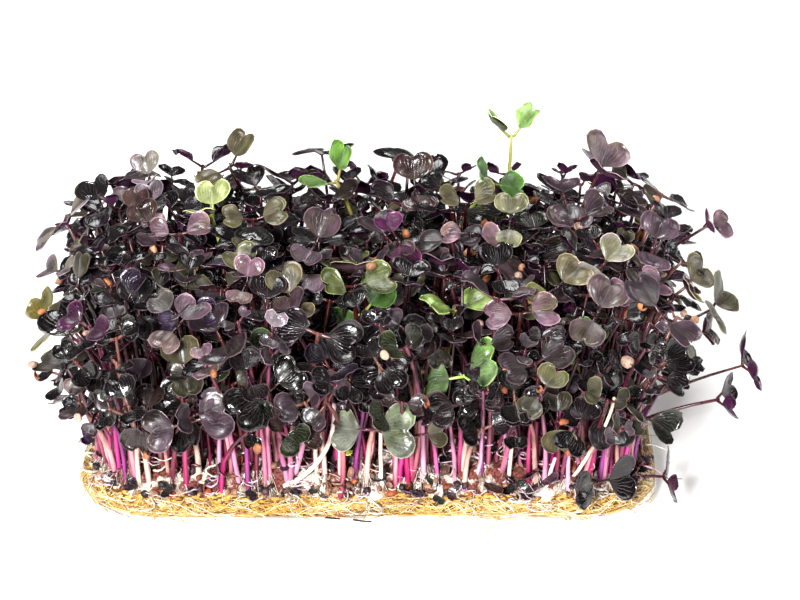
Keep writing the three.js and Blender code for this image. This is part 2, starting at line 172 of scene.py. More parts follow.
def pick(looks, random):
    """One of the looks, each as often as its share says."""
    mark = random() * sum(look.share for look in looks)
    for look in looks:
        mark -= look.share
        if mark < 0:
            return look
    return looks[-1]


def bumps(points, size, seed):
    """Smooth noise from 0 to 1 over a plane."""
    spot = points / size
    cell = np.floor(spot)
    part = spot - cell
    part = part * part * (3 - 2 * part)

    def corner(dx, dy):
        value = np.sin((cell[:, 0] + dx) * 127.1 + (cell[:, 1] + dy) * 311.7 + seed) * 43758.5453
        return value - np.floor(value)

    lower = corner(0, 0) * (1 - part[:, 0]) + corner(1, 0) * part[:, 0]
    upper = corner(0, 1) * (1 - part[:, 0]) + corner(1, 1) * part[:, 0]
    return lower * (1 - part[:, 1]) + upper * part[:, 1]


def unit(v):
    return v / math.sqrt(v @ v)


def running(steps):
    """The running total of some steps, from 0."""
    return np.concatenate([[0], np.cumsum(steps)])


def way_along(points):
    """How far each point is along the line through them."""
    return running(np.linalg.norm(np.diff(points, axis=0), axis=1))


def curve(start, middle, end, shares):
    """Points of the curve from start to end that bends towards middle."""
    t = shares[:, None]
    return (1 - t) ** 2 * start + 2 * (1 - t) * t * middle + t * t * end


def cross(a, b):
    return np.array([a[1] * b[2] - a[2] * b[1], a[2] * b[0] - a[0] * b[2], a[0] * b[1] - a[1] * b[0]])


# ---- Where the clumps stand ----
def keep_inside(x, y, inset):
    """Moves a point in until it is at least inset from the tray's outline."""
    corner = (TRAY.length / 2 - TRAY.corner, TRAY.width / 2 - TRAY.corner)
    reach = TRAY.corner - inset
    out = [min(abs(x) - corner[0], reach), min(abs(y) - corner[1], reach)]
    far = math.hypot(*out)
    if out[0] > 0 and out[1] > 0 and far > reach:
        out = [out[0] * reach / far, out[1] * reach / far]
    return math.copysign(corner[0] + out[0], x), math.copysign(corner[1] + out[1], y)


def inset_of(x, y):
    """How far a point is inside the tray's outline."""
    out = (abs(x) - TRAY.length / 2 + TRAY.corner, abs(y) - TRAY.width / 2 + TRAY.corner)
    if out[0] > 0 and out[1] > 0:
        return TRAY.corner - math.hypot(*out)
    return TRAY.corner - max(out)


def grid_point(column, row):
    half_x = TRAY.length / 2 - GRID.inset
    half_y = TRAY.width / 2 - GRID.inset
    x = -half_x + 2 * half_x * column / (GRID.columns - 1)
    y = -half_y + 2 * half_y * row / (GRID.rows - 1)
    return x, y


def clump_centres():
    """The clumps, on a slightly uneven grid."""
    random = seeded(GRID.seed)
    clumps = []
    for row in range(GRID.rows):
        for column in range(GRID.columns):
            x, y = grid_point(column, row)
            x += (random() * 2 - 1) * GRID.jitter
            y += (random() * 2 - 1) * GRID.jitter
            turn = random() * math.pi * 2
            clumps.append(Named(column=column, row=row, turn=turn, at=keep_inside(x, y, GRID.inset)))
    return clumps


# ---- Seedlings, as the model's source lays them out ----
def lay_out(root, tip, bend, heading, spread, size, fold, droop):
    """A seedling: its stem's line, and its two first leaves' axes and sizes."""
    middle = np.array([root[0], root[1], root[2] + (tip[2] - root[2]) * bend])
    along = unit(tip - middle)
    side = np.array([math.cos(heading), math.sin(heading), 0.0])
    side = unit(side - along * (side @ along))
    front = cross(along, side)
    leaves = []
    for sign, rise, share in ((1, spread[0], 1), (-1, spread[1], HABIT.smaller)):
        leaves.append(Named(
            out=side * (sign * math.cos(rise)) + along * math.sin(rise),
            up=side * (-sign * math.sin(rise)) + along * math.cos(rise),
            across=front * sign,
            start=tip + side * (sign * STEM.radius),
            length=LEAF.length * size * share,
            half_width=LEAF.width / 2 * size * share,
            petiole=LEAF.petiole * size,
            fold=fold,
            droop=droop,
        ))
    return Named(root=root, middle=middle, tip=tip, leaves=leaves, look=None, foot_bend=0)


def leaf_points(leaf, length_share, width_share):
    """Points of a leaf's upper face, at shares of its length and of its half width."""
    reach = leaf.petiole + leaf.length * length_share
    width = leaf.half_width * width_share
    rise = leaf.fold * np.abs(width) - leaf.droop * reach * reach / (leaf.petiole + leaf.length)
    return leaf.start + np.outer(reach, leaf.out) + np.outer(width, leaf.across) + np.outer(rise, leaf.up)


def stem_points(plant, shares):
    return curve(plant.root, plant.middle, plant.tip, shares)


SAMPLE_LENGTHS = np.array([-0.2, 0.1, 0.4, LEAF_NOTCH] + [length for length, _ in LEAF_SAMPLES] * 2)
SAMPLE_WIDTHS = np.array([0.0] * 4 + [side * width for side in (-1, 1) for _, width in LEAF_SAMPLES])


def samples_of(plant):
    """Points spread over a seedling, by which it is kept clear of the others."""
    steps = math.ceil(math.dist(plant.root, plant.tip) / CLEARANCE.stem_step)
    stem = stem_points(plant, np.arange(steps + 1) / steps)
    leaves = [leaf_points(leaf, SAMPLE_LENGTHS, SAMPLE_WIDTHS) for leaf in plant.leaves]
    return np.concatenate(leaves + [stem]).tolist()


class Space:
    """Keeps every seedling's sample points, so that a new one can be tested against those of the others."""

    def __init__(self, size):
        self.size = size
        self.cells = {}

    def add(self, points, owner):
        for x, y, z in points:
            cell = (math.floor(x / self.size), math.floor(y / self.size), math.floor(z / self.size))
            self.cells.setdefault(cell, []).append((x, y, z, owner))

    def is_clear(self, points, owner, distance=None):
        limit = (distance or self.size) ** 2
        for x, y, z in points:
            i, j, k = math.floor(x / self.size), math.floor(y / self.size), math.floor(z / self.size)
            for cell in ((i + a, j + b, k + c) for a in (-1, 0, 1) for b in (-1, 0, 1) for c in (-1, 0, 1)):
                for u, v, w, other in self.cells.get(cell, ()):
                    if other is not owner and (u - x) ** 2 + (v - y) ** 2 + (w - z) ** 2 < limit:
                        return False
        return True


def edge_of(x, y):
    """How much a seedling here belongs to the tray's edge, from 0 to 1, and the way out from there."""
    share = 1 - min(1, max(0, inset_of(x, y) - CANOPY.edge_start) / CANOPY.edge_band)
    inner = keep_inside(x, y, TRAY.corner - 1)
    return share, math.atan2(y - inner[1], x - inner[0])


def draw_seedling(root, random, size):
    """One of the model's drawn seedlings: shorter and leaning out at the tray's edge."""
    share, outward = edge_of(root[0], root[1])
    is_short = random() < share * CANOPY.short_share
    height = between(random, CANOPY.short if is_short else CANOPY.height)
    fan = (random() - 0.5) * CANOPY.edge_fan
    way = outward + fan if random() < share else random() * math.pi * 2
    lean = between(random, LEAN.anywhere) + share * between(random, LEAN.at_edge)
    tip = np.array([root[0] + lean * math.cos(way), root[1] + lean * math.sin(way), root[2] + height])
    bend = between(random, LEAN.bend)
    heading = random() * math.pi * 2
    spread = [HABIT.rise * random() ** HABIT.rise_power for _ in range(2)]
    size = size * between(random, HABIT.size)
    fold = between(random, HABIT.fold)
    droop = between(random, HABIT.droop)
    return lay_out(root, tip, bend, heading, spread, size, fold, droop)


def root_at(x, y):
    return np.array([x, y, MAT.top])


def place_known(root, known):
    """A seedling that is given its place, such as a stray or a green one."""
    tip = np.array(known.tip, dtype=float)
    plant = lay_out(root, tip, known.bend, known.heading, known.spread, known.size, GIVEN_HABIT.fold,
                    GIVEN_HABIT.droop)
    plant.look = known.look
    return plant


def place_drawn(seat, space):
    """The others are drawn again until they are clear, smaller each time that many draws have failed."""
    random = seeded(GRID.seed * 7919 + seat.number)
    size = 1
    for attempt in range(1, CLEARANCE.tries + 1):
        plant = draw_seedling(seat.root, random, size)
        if space.is_clear(samples_of(plant), seat):
            return plant
        if attempt % CLEARANCE.shrink_every == 0:
            size *= CLEARANCE.shrink
    return None


def seats_of(clumps):
    """Where the seedlings of the model's clumps are rooted."""
    seats = []
    for place in range(CLUMP.seats):
        for clump in clumps:
            angle = clump.turn + place / CLUMP.seats * math.pi * 2
            x, y = (math.cos(angle) * CLUMP.seat_radius, math.sin(angle) * CLUMP.seat_radius)
            root = root_at(clump.at[0] + x, clump.at[1] + y)
            seats.append(Named(clump=clump, root=root, number=len(seats), plant=None))
    return seats


def stray_seat(seats, known):
    """The free seat of the stray's clump that lies nearest to where its tip ends up."""
    free = [s for s in seats if (s.clump.column, s.clump.row) == known.clump and s.plant is None]
    return min(free, key=lambda s: math.hypot(s.root[0] - known.tip[0], s.root[1] - known.tip[1]))


def grow_seedlings(clumps, space):
    """Grows every seedling of the model: the given ones first, then the others round them."""
    def settle(seat, plant):
        seat.plant = plant
        space.add(samples_of(plant), seat)

    seats = seats_of(clumps)
    lone = []
    for known in LONE:
        low, high = grid_point(*known.gap), grid_point(known.gap[0] + 1, known.gap[1] + 1)
        at = ((low[0] + high[0]) / 2, (low[1] + high[1]) / 2)
        seat = Named(at=at, root=root_at(*at), plant=None)
        settle(seat, place_known(seat.root, known))
        lone.append(Named(at=at, plants=[seat.plant]))
    for known in STRAYS:
        seat = stray_seat(seats, known)
        settle(seat, place_known(seat.root, known))
    drawn = [seat for seat in seats if seat.plant is None]
    steps = math.ceil(CLEARANCE.column / CLEARANCE.stem_step)
    for seat in drawn:
        column = [(seat.root[0], seat.root[1], seat.root[2] + i * CLEARANCE.stem_step) for i in range(steps)]
        space.add(column, seat)
    for seat in drawn:
        plant = place_drawn(seat, space)
        if plant is not None:
            settle(seat, plant)
    for clump in clumps:
        clump.plants = [s.plant for s in seats if s.clump is clump and s.plant is not None]
    return lone


# ---- Further seedlings, between the model's ----
# Those whose leaves stand out: where the leaf pair's middle is, how far that is out from the root, which way
# the leaves point, how far each is raised, and their size.
NOTABLE = named_rows("tip lean heading spread size look", [
    ((-36, -34, 77.5), (0, -5), 1.3, (0.9, 0.1), 0.67, ROSE),
    ((-36, 4, 79), (0, -5), 0.15, (0.35, 0.3), 0.84, OLIVE_GREY),
    ((-16, -12, 79), (2, -5), 1.2, (0.8, 0.1), 0.84, MAUVE_GREY),
    ((-22, -37, 74), (-2, -6), 1.9, (0.6, 0.1), 0.80, OLIVE_GREY),
    ((-3.5, -32, 76), (0, -6), 0.3, (0.15, 0.5), 0.92, look("#56602f", 0.5)),
    ((15, 24, 79), (0, -5), 1.7, (0.9, 0.2), 0.92, BROWN),
    ((31, 14, 79), (0, -5), 0.1, (0.5, 0.5), 0.80, OLIVE_GREY),
    ((32, -6, 79.5), (1, -4), 0.05, (-0.1, 0.1), 0.76, ROSE),
    ((9.4, -9, 79), (2, -5), -1.0, (-0.7, 0.3), 0.80, MAGENTA),
    ((44.3, 1, 79), (-2, -5), 1.4, (0.7, 0.1), 0.76, SAGE),
    ((71, -25, 79), (3, -5), 0.9, (0.55, 0.1), 0.80, look("#8b8079", 0.3)),
    ((88, -10, 76), (6, -3), 1.5, (0.7, 0.1), 0.92, MAUVE_GREY),
    ((66, 6, 78), (3, -4), 0.5, (0.3, 0.4), 0.84, look("#4a3b42", 0.9)),
    ((-86, 20, 74), (-7, -2), 1.6, (0.9, 0.2), 0.84, BLACK),
    ((-76, 14, 74.5), (-5, -4), 1.1, (0.7, 0.1), 0.71, BROWN),
    ((-68.5, 5, 75), (-4, -4), 1.9, (0.7, 0.2), 0.71, BROWN),
    ((-72.5, 37, 76), (-4, -1), 1.6, (1.0, 0.2), 0.71, SILVER),
    ((-69, 17, 76), (-4, -3), 1.6, (0.8, 0.1), 0.67, SILVER),
    ((-59, -1, 76.5), (-2, -4), 0.1, (0.1, 0.3), 0.76, ROSE),
    ((-68, -37, 70), (-3, -7), 1.5, (0.6, 0.1), 0.80, BLACK),
    ((-53, -42.5, 70), (-2, -7), 0.3, (0.3, 0.3), 0.71, VIOLET),
    ((99, -15, 66), (14, -2), 1.2, (0.6, 0.3), 0.88, OLIVE_GREY),
    ((-96, -6, 66), (-14, 0), 2.6, (0.5, 0.2), 0.67, SILVER),
    ((-37, -52, 63), (0, -7), 0.4, (0.2, 0.1), 0.84, DARK_GREEN),
    ((-26, -56, 46.5), (-2, -9), 0.2, (0.3, 0.2), 0.71, BLACK),
    ((15.4, -58, 39.5), (2, -10), 0.3, (0.2, 0.2), 0.63, OLIVE_GREY),
    ((29, -56, 50), (1, -9), 0.5, (0.2, 0.1), 0.97, PLUM_BLACK),
    ((56.6, -33.5, 76), (2, -6), 0.8, (0.5, 0.1), 0.88, OLIVE_GREY),
    ((45.5, -43, 73), (0, -7), 0.1, (0.3, 0.3), 0.84, MAUVE),
    ((68, -44, 73), (2, -7), 1.2, (0.6, 0.1), 0.92, look("#59474a", 0.35)),
    ((81, -31, 74), (6, -5), 0.6, (0.3, 0.1), 0.84, ROSE),
    ((105, -12, 47), (17, -2), 0.5, (0.3, 0.4), 0.76, BROWN),
    ((-11, -52, 58), (-1, -8), 0.7, (0.3, 0.1), 0.76, VIOLET),
    ((-65, -40, 58), (-5, -8), 1.1, (0.4, 0.1), 0.76, MAUVE_GREY),
])
NOTABLE_HABIT = Named(bend=0.75, fold=(0.05, 0.55), droop=(0, 0.3))
# The others, for the clumps of each row: how many, how many more that are low and large, and how they
# are placed.
FILL = Named(seedlings=(25, 24, 19, 18, 18), low=(0, 0, 3, 10, 12), tries=60, distance=1.0, root_gap=1.3,
             inset=7.5, reach=(-94, 104), back=60, seed=3)
FILL_HABIT = Named(size=(0.36, 0.84), low_size=(0.9, 1.2), fan=1.9, lean=(2, 14), rise=0.95, rise_power=1.3,
                   fold=(0, 0.6), droop=(0, 0.34), foot_bend=6)
# The tallest, how much lower the lowest are inside the tray and at its edge, how much lower all are at the
# back and in the low patches of the stand, where the leaves are darkened by painted shade, how rare the lower
# ones are at the edge and inside, and the height of the low and large ones.
FILL_HEIGHT = Named(tallest=67, inner=44, edge=36, back=11, back_band=40, dip=9, rarity=(1.1, 1.9),
                    edge_share=0.8, low=(28, 50))
# Below these, a filler is meshed roughly: its height if it's inside the stand, and its leaves' size anywhere.
ROUGH_BELOW = Named(height=50, size=0.56, edge=0.5)
# How much of a leaf's half width no filler may hide, and how far in front of the leaf that begins.
SIGHT = Named(share=0.62, nearer=3)
# Leaves less glossy than this are pale enough to be kept in sight.
PALE_GLOSS = 0.6
# Where the stand is lower, and where its leaves are darkened by painted shade.
PATCHES = Named(size=17, seed=7)
HOLLOW = Named(middle=(28, -12), reach=(42, 30), depth=1.3)


def low_shaded_patch(x, y):
    """From 0 to 1 over the stand, high where it is lower and its leaves get painted shade: in patches, and in
    one large hollow.
    """
    far = math.hypot((x - HOLLOW.middle[0]) / HOLLOW.reach[0], (y - HOLLOW.middle[1]) / HOLLOW.reach[1])
    patch = bumps(np.array([[x, y]]), PATCHES.size, PATCHES.seed)[0]
    return max(float(patch), min(1, HOLLOW.depth - far))


class Sight:
    """Keeps the lines of sight from the camera to leaves that should be seen: no filler may cross them."""

    def __init__(self, plants):
        eye = np.array(CAMERA.target) + CAMERA.distance * camera_way()
        leaves = [leaf for plant in plants for leaf in plant.leaves]
        self.middles = np.array([leaf_points(leaf, np.array([0.5]), np.array([0.0]))[0] for leaf in leaves])
        self.radii = np.array([leaf.half_width * SIGHT.share for leaf in leaves])
        lines = eye - self.middles
        self.ways = lines / np.linalg.norm(lines, axis=1, keepdims=True)

    def is_open(self, points):
        offsets = np.array(points)[:, None] - self.middles
        nearer = (offsets * self.ways).sum(axis=2)
        beside = np.linalg.norm(offsets - nearer[:, :, None] * self.ways, axis=2)
        return not ((nearer > SIGHT.nearer) & (beside < self.radii)).any()


def grow_notable(clumps, space):
    """Grows the further seedlings whose leaves stand out, each as one of the nearest clump."""
    for clump in clumps:
        clump.notable = []
    random = seeded(FILL.seed)
    for known in NOTABLE:
        x, y = keep_inside(known.tip[0] - known.lean[0], known.tip[1] - known.lean[1], FILL.inset)
        plant = lay_out(root_at(x, y), np.array(known.tip, dtype=float), NOTABLE_HABIT.bend, known.heading,
                        known.spread, known.size, between(random, NOTABLE_HABIT.fold),
                        between(random, NOTABLE_HABIT.droop))
        plant.look = known.look
        space.add(samples_of(plant), plant)
        nearest = min(clumps, key=lambda clump: math.hypot(clump.at[0] - x, clump.at[1] - y))
        nearest.notable.append(plant)


def draw_filler(clump, random, roots, low):
    """A further seedling of a clump, rooted anywhere in its cell of the grid."""
    cell_x = (TRAY.length - 2 * GRID.inset) / (GRID.columns - 1)
    cell_y = (TRAY.width - 2 * GRID.inset) / (GRID.rows - 1)
    x, y = grid_point(clump.column, clump.row)
    x, y = keep_inside(x + (random() - 0.5) * cell_x, y + (random() - 0.5) * cell_y, FILL.inset)
    if any(math.hypot(x - u, y - v) < FILL.root_gap for u, v in roots):
        return None
    share, outward = edge_of(x, y)
    depth = random() ** FILL_HEIGHT.rarity[0 if random() < share * FILL_HEIGHT.edge_share else 1]
    height = FILL_HEIGHT.tallest - depth * (FILL_HEIGHT.inner * (1 - share) + FILL_HEIGHT.edge * share)
    height -= FILL_HEIGHT.back * min(1, max(0, y / FILL_HEIGHT.back_band))
    height -= FILL_HEIGHT.dip * low_shaded_patch(x, y) * (1 - share)
    if low:
        height = between(random, FILL_HEIGHT.low)
    way = outward + (random() - 0.5) * FILL_HABIT.fan if random() < share else random() * math.pi * 2
    lean = between(random, LEAN.anywhere) + share * between(random, FILL_HABIT.lean)
    tip_x = min(max(x + lean * math.cos(way), FILL.reach[0]), FILL.reach[1])
    tip = np.array([tip_x, min(y + lean * math.sin(way), FILL.back), MAT.top + height])
    spread = [FILL_HABIT.rise * random() ** FILL_HABIT.rise_power for _ in range(2)]
    size = between(random, FILL_HABIT.low_size if low else FILL_HABIT.size)
    plant = lay_out(root_at(x, y), tip, between(random, LEAN.bend), random() * math.pi * 2, spread, size,
                    between(random, FILL_HABIT.fold), between(random, FILL_HABIT.droop))
    plant.rough = low or size < ROUGH_BELOW.size or (height < ROUGH_BELOW.height and share < ROUGH_BELOW.edge)
    plant.foot_bend = random() ** 3 * FILL_HABIT.foot_bend if clump.row == 0 else 0
    return plant


def fill_clumps(clumps, lone, space):
    """Fills the stand with further seedlings, clear of the others and of the lines of sight to pale ones."""
    given = [plant for clump in clumps for plant in clump.plants + clump.notable]
    taken = [tuple(plant.root[:2]) for plant in given]
    pale = [plant for plant in given if plant.look and plant.look.gloss < PALE_GLOSS]
    sight = Sight(pale + [plug.plants[0] for plug in lone])
    for clump in clumps:
        random = seeded(FILL.seed * 1000 + clump.row * GRID.columns + clump.column)
        clump.fillers = []
        upper = FILL.seedlings[clump.row]
        wanted = upper + FILL.low[clump.row]
        for _ in range(wanted * FILL.tries):
            if len(clump.fillers) == wanted:
                break
            plant = draw_filler(clump, random, taken, low=len(clump.fillers) >= upper)
            if plant is None:
                continue
            points = samples_of(plant)
            if space.is_clear(points, None, FILL.distance) and sight.is_open(points):
                space.add(points, plant)
                taken.append(tuple(plant.root[:2]))
                clump.fillers.append(plant)


# ---- Meshes ----
class Heap:
    """Collects closed bodies for one mesh, with a tint and a place on the leaf at each vertex."""

    def __init__(self):
        self.points, self.quads, self.tris, self.tints, self.places = [], [], [], [], []
        self.quad_slots, self.tri_slots = [], []
        self.count = 0

    def add(self, points, quads, tris, slot, tint, place=None):
        """Adds bodies of one template: points is (body, vertex, 3) in mm, tint broadcasts to (..., 4)."""
        bodies, each, _ = points.shape
        offsets = (self.count + np.arange(bodies) * each)[:, None, None]
        for faces, kept, slots in ((quads, self.quads, self.quad_slots), (tris, self.tris, self.tri_slots)):
            if len(faces):
                kept.append((np.asarray(faces)[None] + offsets).reshape(-1, np.asarray(faces).shape[1]))
                slots.append(np.full(len(kept[-1]), slot))
        self.points.append(points.reshape(-1, 3) * MM)
        self.tints.append(np.broadcast_to(tint, (bodies, each, 4)).reshape(-1, 4))
        place = np.zeros(3) if place is None else place
        self.places.append(np.broadcast_to(place, (bodies, each, 3)).reshape(-1, 3))
        self.count += bodies * each

    def add_tubes(self, paths, radii, sides, slot, tints):
        """Adds a tube along each path, with one tint for each tube or for each point of its path."""
        tints = np.array(tints)
        tints = along_tube(tints, sides) if tints.ndim == 3 else tints[:, None]
        self.add(tubes(paths, radii, sides), *ring_faces(paths.shape[1], sides), slot, tints)

    def make(self, name, materials):
        mesh = bpy.data.meshes.new(name)
        points = np.concatenate(self.points)
        quads = np.concatenate(self.quads) if self.quads else np.zeros((0, 4), int)
        tris = np.concatenate(self.tris) if self.tris else np.zeros((0, 3), int)
        corners = np.concatenate([quads.ravel(), tris.ravel()])
        mesh.vertices.add(len(points))
        mesh.vertices.foreach_set("co", points.ravel())
        mesh.loops.add(len(corners))
        mesh.loops.foreach_set("vertex_index", corners)
        mesh.polygons.add(len(quads) + len(tris))
        starts = np.concatenate([np.arange(len(quads)) * 4, len(quads) * 4 + np.arange(len(tris)) * 3])
        mesh.polygons.foreach_set("loop_start", starts)
        mesh.polygons.foreach_set("material_index", np.concatenate(self.quad_slots + self.tri_slots))
        mesh.polygons.foreach_set("use_smooth", np.ones(len(starts), bool))
        mesh.update(calc_edges=True)
        tint = mesh.attributes.new("tint", "FLOAT_COLOR", "POINT")
        tint.data.foreach_set("color", np.concatenate(self.tints).ravel())
        place = mesh.attributes.new("place", "FLOAT_VECTOR", "POINT")
        place.data.foreach_set("vector", np.concatenate(self.places).ravel())
        for material in materials:
            mesh.materials.append(material)
        piece = bpy.data.objects.new(name, mesh)
        bpy.context.scene.collection.objects.link(piece)
        return piece


def ring_faces(rings, sides):
    """The faces of a closed body through rings of points, which come first, and a point at each end."""
    quads = []
    for ring in range(rings - 1):
        for i in range(sides):
            a, b = ring * sides + i, ring * sides + (i + 1) % sides
            quads.append((a, b, b + sides, a + sides))
    start, end, last = rings * sides, rings * sides + 1, (rings - 1) * sides
    tris = [(start, (i + 1) % sides, i) for i in range(sides)]
    tris += [(end, last + i, last + (i + 1) % sides) for i in range(sides)]
    return quads, tris


def stacked(rings, ends):
    """A closed body through rings of points, with a point at each end: its points, quads and triangles."""
    return np.concatenate([*rings, ends]), *ring_faces(len(rings), len(rings[0]))


def angles(sides):
    return np.arange(sides) / sides * 2 * math.pi


# How far a tube's ends stick out, as a share of its radius.
TUBE_CAP = 0.6


def tubes(paths, radii, sides):
    """Closed round tubes along many paths at once: paths is (tube, point, 3) and radii (tube, point)."""
    count, steps, _ = paths.shape
    along = np.gradient(paths, axis=1)
    along /= np.linalg.norm(along, axis=2, keepdims=True)
    normals = np.empty_like(along)
    helper = np.where(np.abs(along[:, 0, 2:3]) < 0.8, [[0.0, 0.0, 1.0]], [[1.0, 0.0, 0.0]])
    normal = helper
    for step in range(steps):
        normal = normal - along[:, step] * (normal * along[:, step]).sum(axis=1, keepdims=True)
        normal = normal / np.linalg.norm(normal, axis=1, keepdims=True)
        normals[:, step] = normal
    others = np.cross(along, normals)
    turn = angles(sides)
    ring = np.cos(turn)[:, None] * normals[:, :, None] + np.sin(turn)[:, None] * others[:, :, None]
    body = (paths[:, :, None] + radii[:, :, None, None] * ring).reshape(count, steps * sides, 3)
    caps = np.array([-TUBE_CAP, TUBE_CAP])[:, None] * along[:, [0, -1]] * radii[:, [0, -1], None]
    ends = paths[:, [0, -1]] + caps
    return np.concatenate([body, ends], axis=1)


def along_tube(values, sides):
    """Spreads values given at each point of the tubes over their vertices, as tubes() orders them."""
    body = np.repeat(values, sides, axis=1)
    return np.concatenate([body, values[:, [0, -1]]], axis=1)


def bezier(points, t):
    a, b, c, d = (np.array(p, dtype=float) for p in points)
    t = t[:, None]
    return (1 - t) ** 3 * a + 3 * (1 - t) ** 2 * t * b + 3 * (1 - t) * t ** 2 * c + t ** 3 * d


# ---- Leaves and stems ----
# Where the midrib ends, as a share of the leaf's length.
BLADE_MIDRIB = 0.62
# The blade's edge from its base to its widest point, and on round the lobe to the notch.
BLADE_EDGE = [
    [(-0.16, 0.07), (0.02, 0.55), (0.2, 1.0), (0.58, 1.0)],
    [(0.58, 1.0), (1.0, 1.0), (1.24, 0.36), (LEAF_NOTCH, 0.0)],
]


def blade_template(rows, columns):
    """The blade's vertices as (length, width, along the edge, out from the midrib), and its faces."""
    share = np.arange(rows + 1) / rows
    lower = bezier(BLADE_EDGE[0], np.minimum(share * 2, 1))
    upper = bezier(BLADE_EDGE[1], np.maximum(share * 2 - 1, 0))
    edge = np.where(share[:, None] < 0.5, lower, upper)
    vertices, index = [], {}
    for row in range(rows + 1):
        for side in (1, -1):
            for column in range(columns + 1):
                shared = column == 0 or row == rows
                key = (row, column, 0 if shared else side)
                if key not in index:
                    index[key] = len(vertices)
                    out = column / columns
                    midrib = edge[0, 0] + (BLADE_MIDRIB - edge[0, 0]) * share[row]
                    length = midrib * (1 - out) + edge[row, 0] * out
                    vertices.append((length, side * edge[row, 1] * out, share[row], out))

    def at(row, column, side):
        return index[(row, column, 0 if column == 0 or row == rows else side)]

    quads = []
    for row in range(rows):
        for column in range(columns):
            for side in (1, -1):
                face = [at(row, column, side), at(row + 1, column, side),
                        at(row + 1, column + 1, side), at(row, column + 1, side)]
                quads.append(face if side > 0 else face[::-1])
    loop = [at(0, column, 1) for column in range(columns)] + [at(row, columns, 1) for row in range(rows)]
    loop += [at(rows, columns, 1)] + [at(row, columns, -1) for row in range(rows - 1, -1, -1)]
    loop += [at(0, column, -1) for column in range(columns - 1, 0, -1)]
    below = len(vertices)
    under = [[below + i for i in face[::-1]] for face in quads]
    rim = [(a, below + a, below + b, b) for a, b in zip(loop, loop[1:] + loop[:1])]
    return np.array(vertices), quads + under + rim


def blade_places(vertices):
    """For the leaf's material: the fan angle, how far out from the midrib, and how far from the base, where
    the underside is below 0."""
    length, width, _, out = vertices.T
    along = (length - BLADE_EDGE[0][0][0]) * LEAF.length
    across = np.abs(width) * LEAF.width / 2
    fan = np.arctan2(across, along + 0.2)
    far = 0.05 + np.hypot(along, across) / LEAF.length
    return np.concatenate([np.stack([fan, out, far], axis=1), np.stack([fan, out, -far], axis=1)])


STALK_SHARES = [-0.05, 0.25, 0.6, 0.95, 1.35, 1.8]
STALK_RADII = [0.55, 0.5, 0.46, 0.4, 0.3, 0.1]


def detail(rows, columns, stem_steps, stem_sides, stalk_steps, stalk_sides):
    """How finely a seedling is meshed. A stem's steps are closer together towards its foot."""
    vertices, quads = blade_template(rows, columns)
    stalk_shares = np.linspace(STALK_SHARES[0], STALK_SHARES[-1], stalk_steps)
    return Named(vertices=vertices, quads=quads, places=blade_places(vertices), stem_sides=stem_sides,
                 stem_shares=np.linspace(0, 1, stem_steps) ** 1.7, stalk_sides=stalk_sides,
                 stalk_shares=stalk_shares, stalk_radii=np.interp(stalk_shares, STALK_SHARES, STALK_RADII))


FINE = detail(rows=10, columns=4, stem_steps=12, stem_sides=8, stalk_steps=6, stalk_sides=6)
COARSE = detail(rows=7, columns=3, stem_steps=8, stem_sides=6, stalk_steps=5, stalk_sides=3)
ROUGH = detail(rows=5, columns=2, stem_steps=6, stem_sides=4, stalk_steps=4, stalk_sides=3)


# How far a blade's base is moved, how high its lobes are domed, its rim rolled and waved, as shares of the
# leaf's size, and how much thinner its rim is.
BLADE = Named(base=(-0.06, 0.16), dome=(-0.08, 0.2), roll=(-0.36, 0.3), wave=(0, 0.09), waves=15, thinner=0.4)


def blade_points(leaf, vertices, random):
    """Both faces of a blade: the model's leaf, with domed lobes and a slightly wavy rim."""
    length, width, share, out = vertices.T
    base = between(random, BLADE.base) * np.maximum(1 - share * 2, 0) ** 2
    top = leaf_points(leaf, length + base, width)
    dome = between(random, BLADE.dome) * 4 * out * (1 - out)
    roll = between(random, BLADE.roll) * out ** 3
    wave = between(random, BLADE.wave) * out ** 2
    wave = wave * np.sin(share * BLADE.waves + random() * 6 + np.sign(width))
    rise = leaf.half_width * (dome + roll + wave) * np.sin(math.pi * np.clip(share, 0.06, 1) * 0.8)
    top = top + np.outer(rise, leaf.up)
    thickness = LEAF.thickness * (1 - BLADE.thinner * out)
    return np.concatenate([top, top - np.outer(thickness, leaf.up)])


def stem_look(share, *codes):
    """How common a stem's look is, and its colours at its foot, a third of the way up and from two thirds."""
    return Named(share=share, colours=[linear(code) for code in codes])


STEM_LOOKS = [
    stem_look(0.18, "#b32c74", "#cb5c98", "#4a1a26"),
    stem_look(0.20, "#9c2a60", "#d49a9c", "#6e4238"),
    stem_look(0.17, "#dfaec6", "#c888ac", "#5e3040"),
    stem_look(0.10, "#8c2e7c", "#7a3276", "#321222"),
    stem_look(0.16, "#efdfd0", "#e0c4ae", "#6b4a3e"),
    stem_look(0.10, "#d02c80", "#b83480", "#431724"),
    stem_look(0.09, "#641838", "#8a3a58", "#3a1420"),
]
GREEN_STEM = stem_look(1, "#e4ebb4", "#bcd268", "#a3c557")
# Painted shade: stems inside the stand are darkened, and so are its leaves below the top: from how far inside
# the tray's outline and below what height, and how much of their colour the painted shade takes; also how
# much leaves outside the low patches are brightened by painted light and those in them darkened by painted
# shade.
DEEP_SHADE = Named(start=7.8, band=6, top=73, fall=20, stem_loss=np.array([0.68, 0.87, 0.8]), leaf_loss=0.85,
             patch_light=1.25, patch_loss=0.85)
# How bright stems are, and how much more green and blue than red the darker ones lose.
STEM_SHADE = (0.55, 1.06)
STEM_DARKER = np.array([0.6, 1.6, 1.4])
# How far a stem wavers and how often, how soon a bend at its foot fades, and how thick it is.
STEM_FORM = Named(waver=0.6, waves=(3, 9), foot=8, scale=(0.68, 1.0), radius=1.02, thinner=0.42)
# How far below the blade its stalk's middle is.
STALK_SAG = 0.32
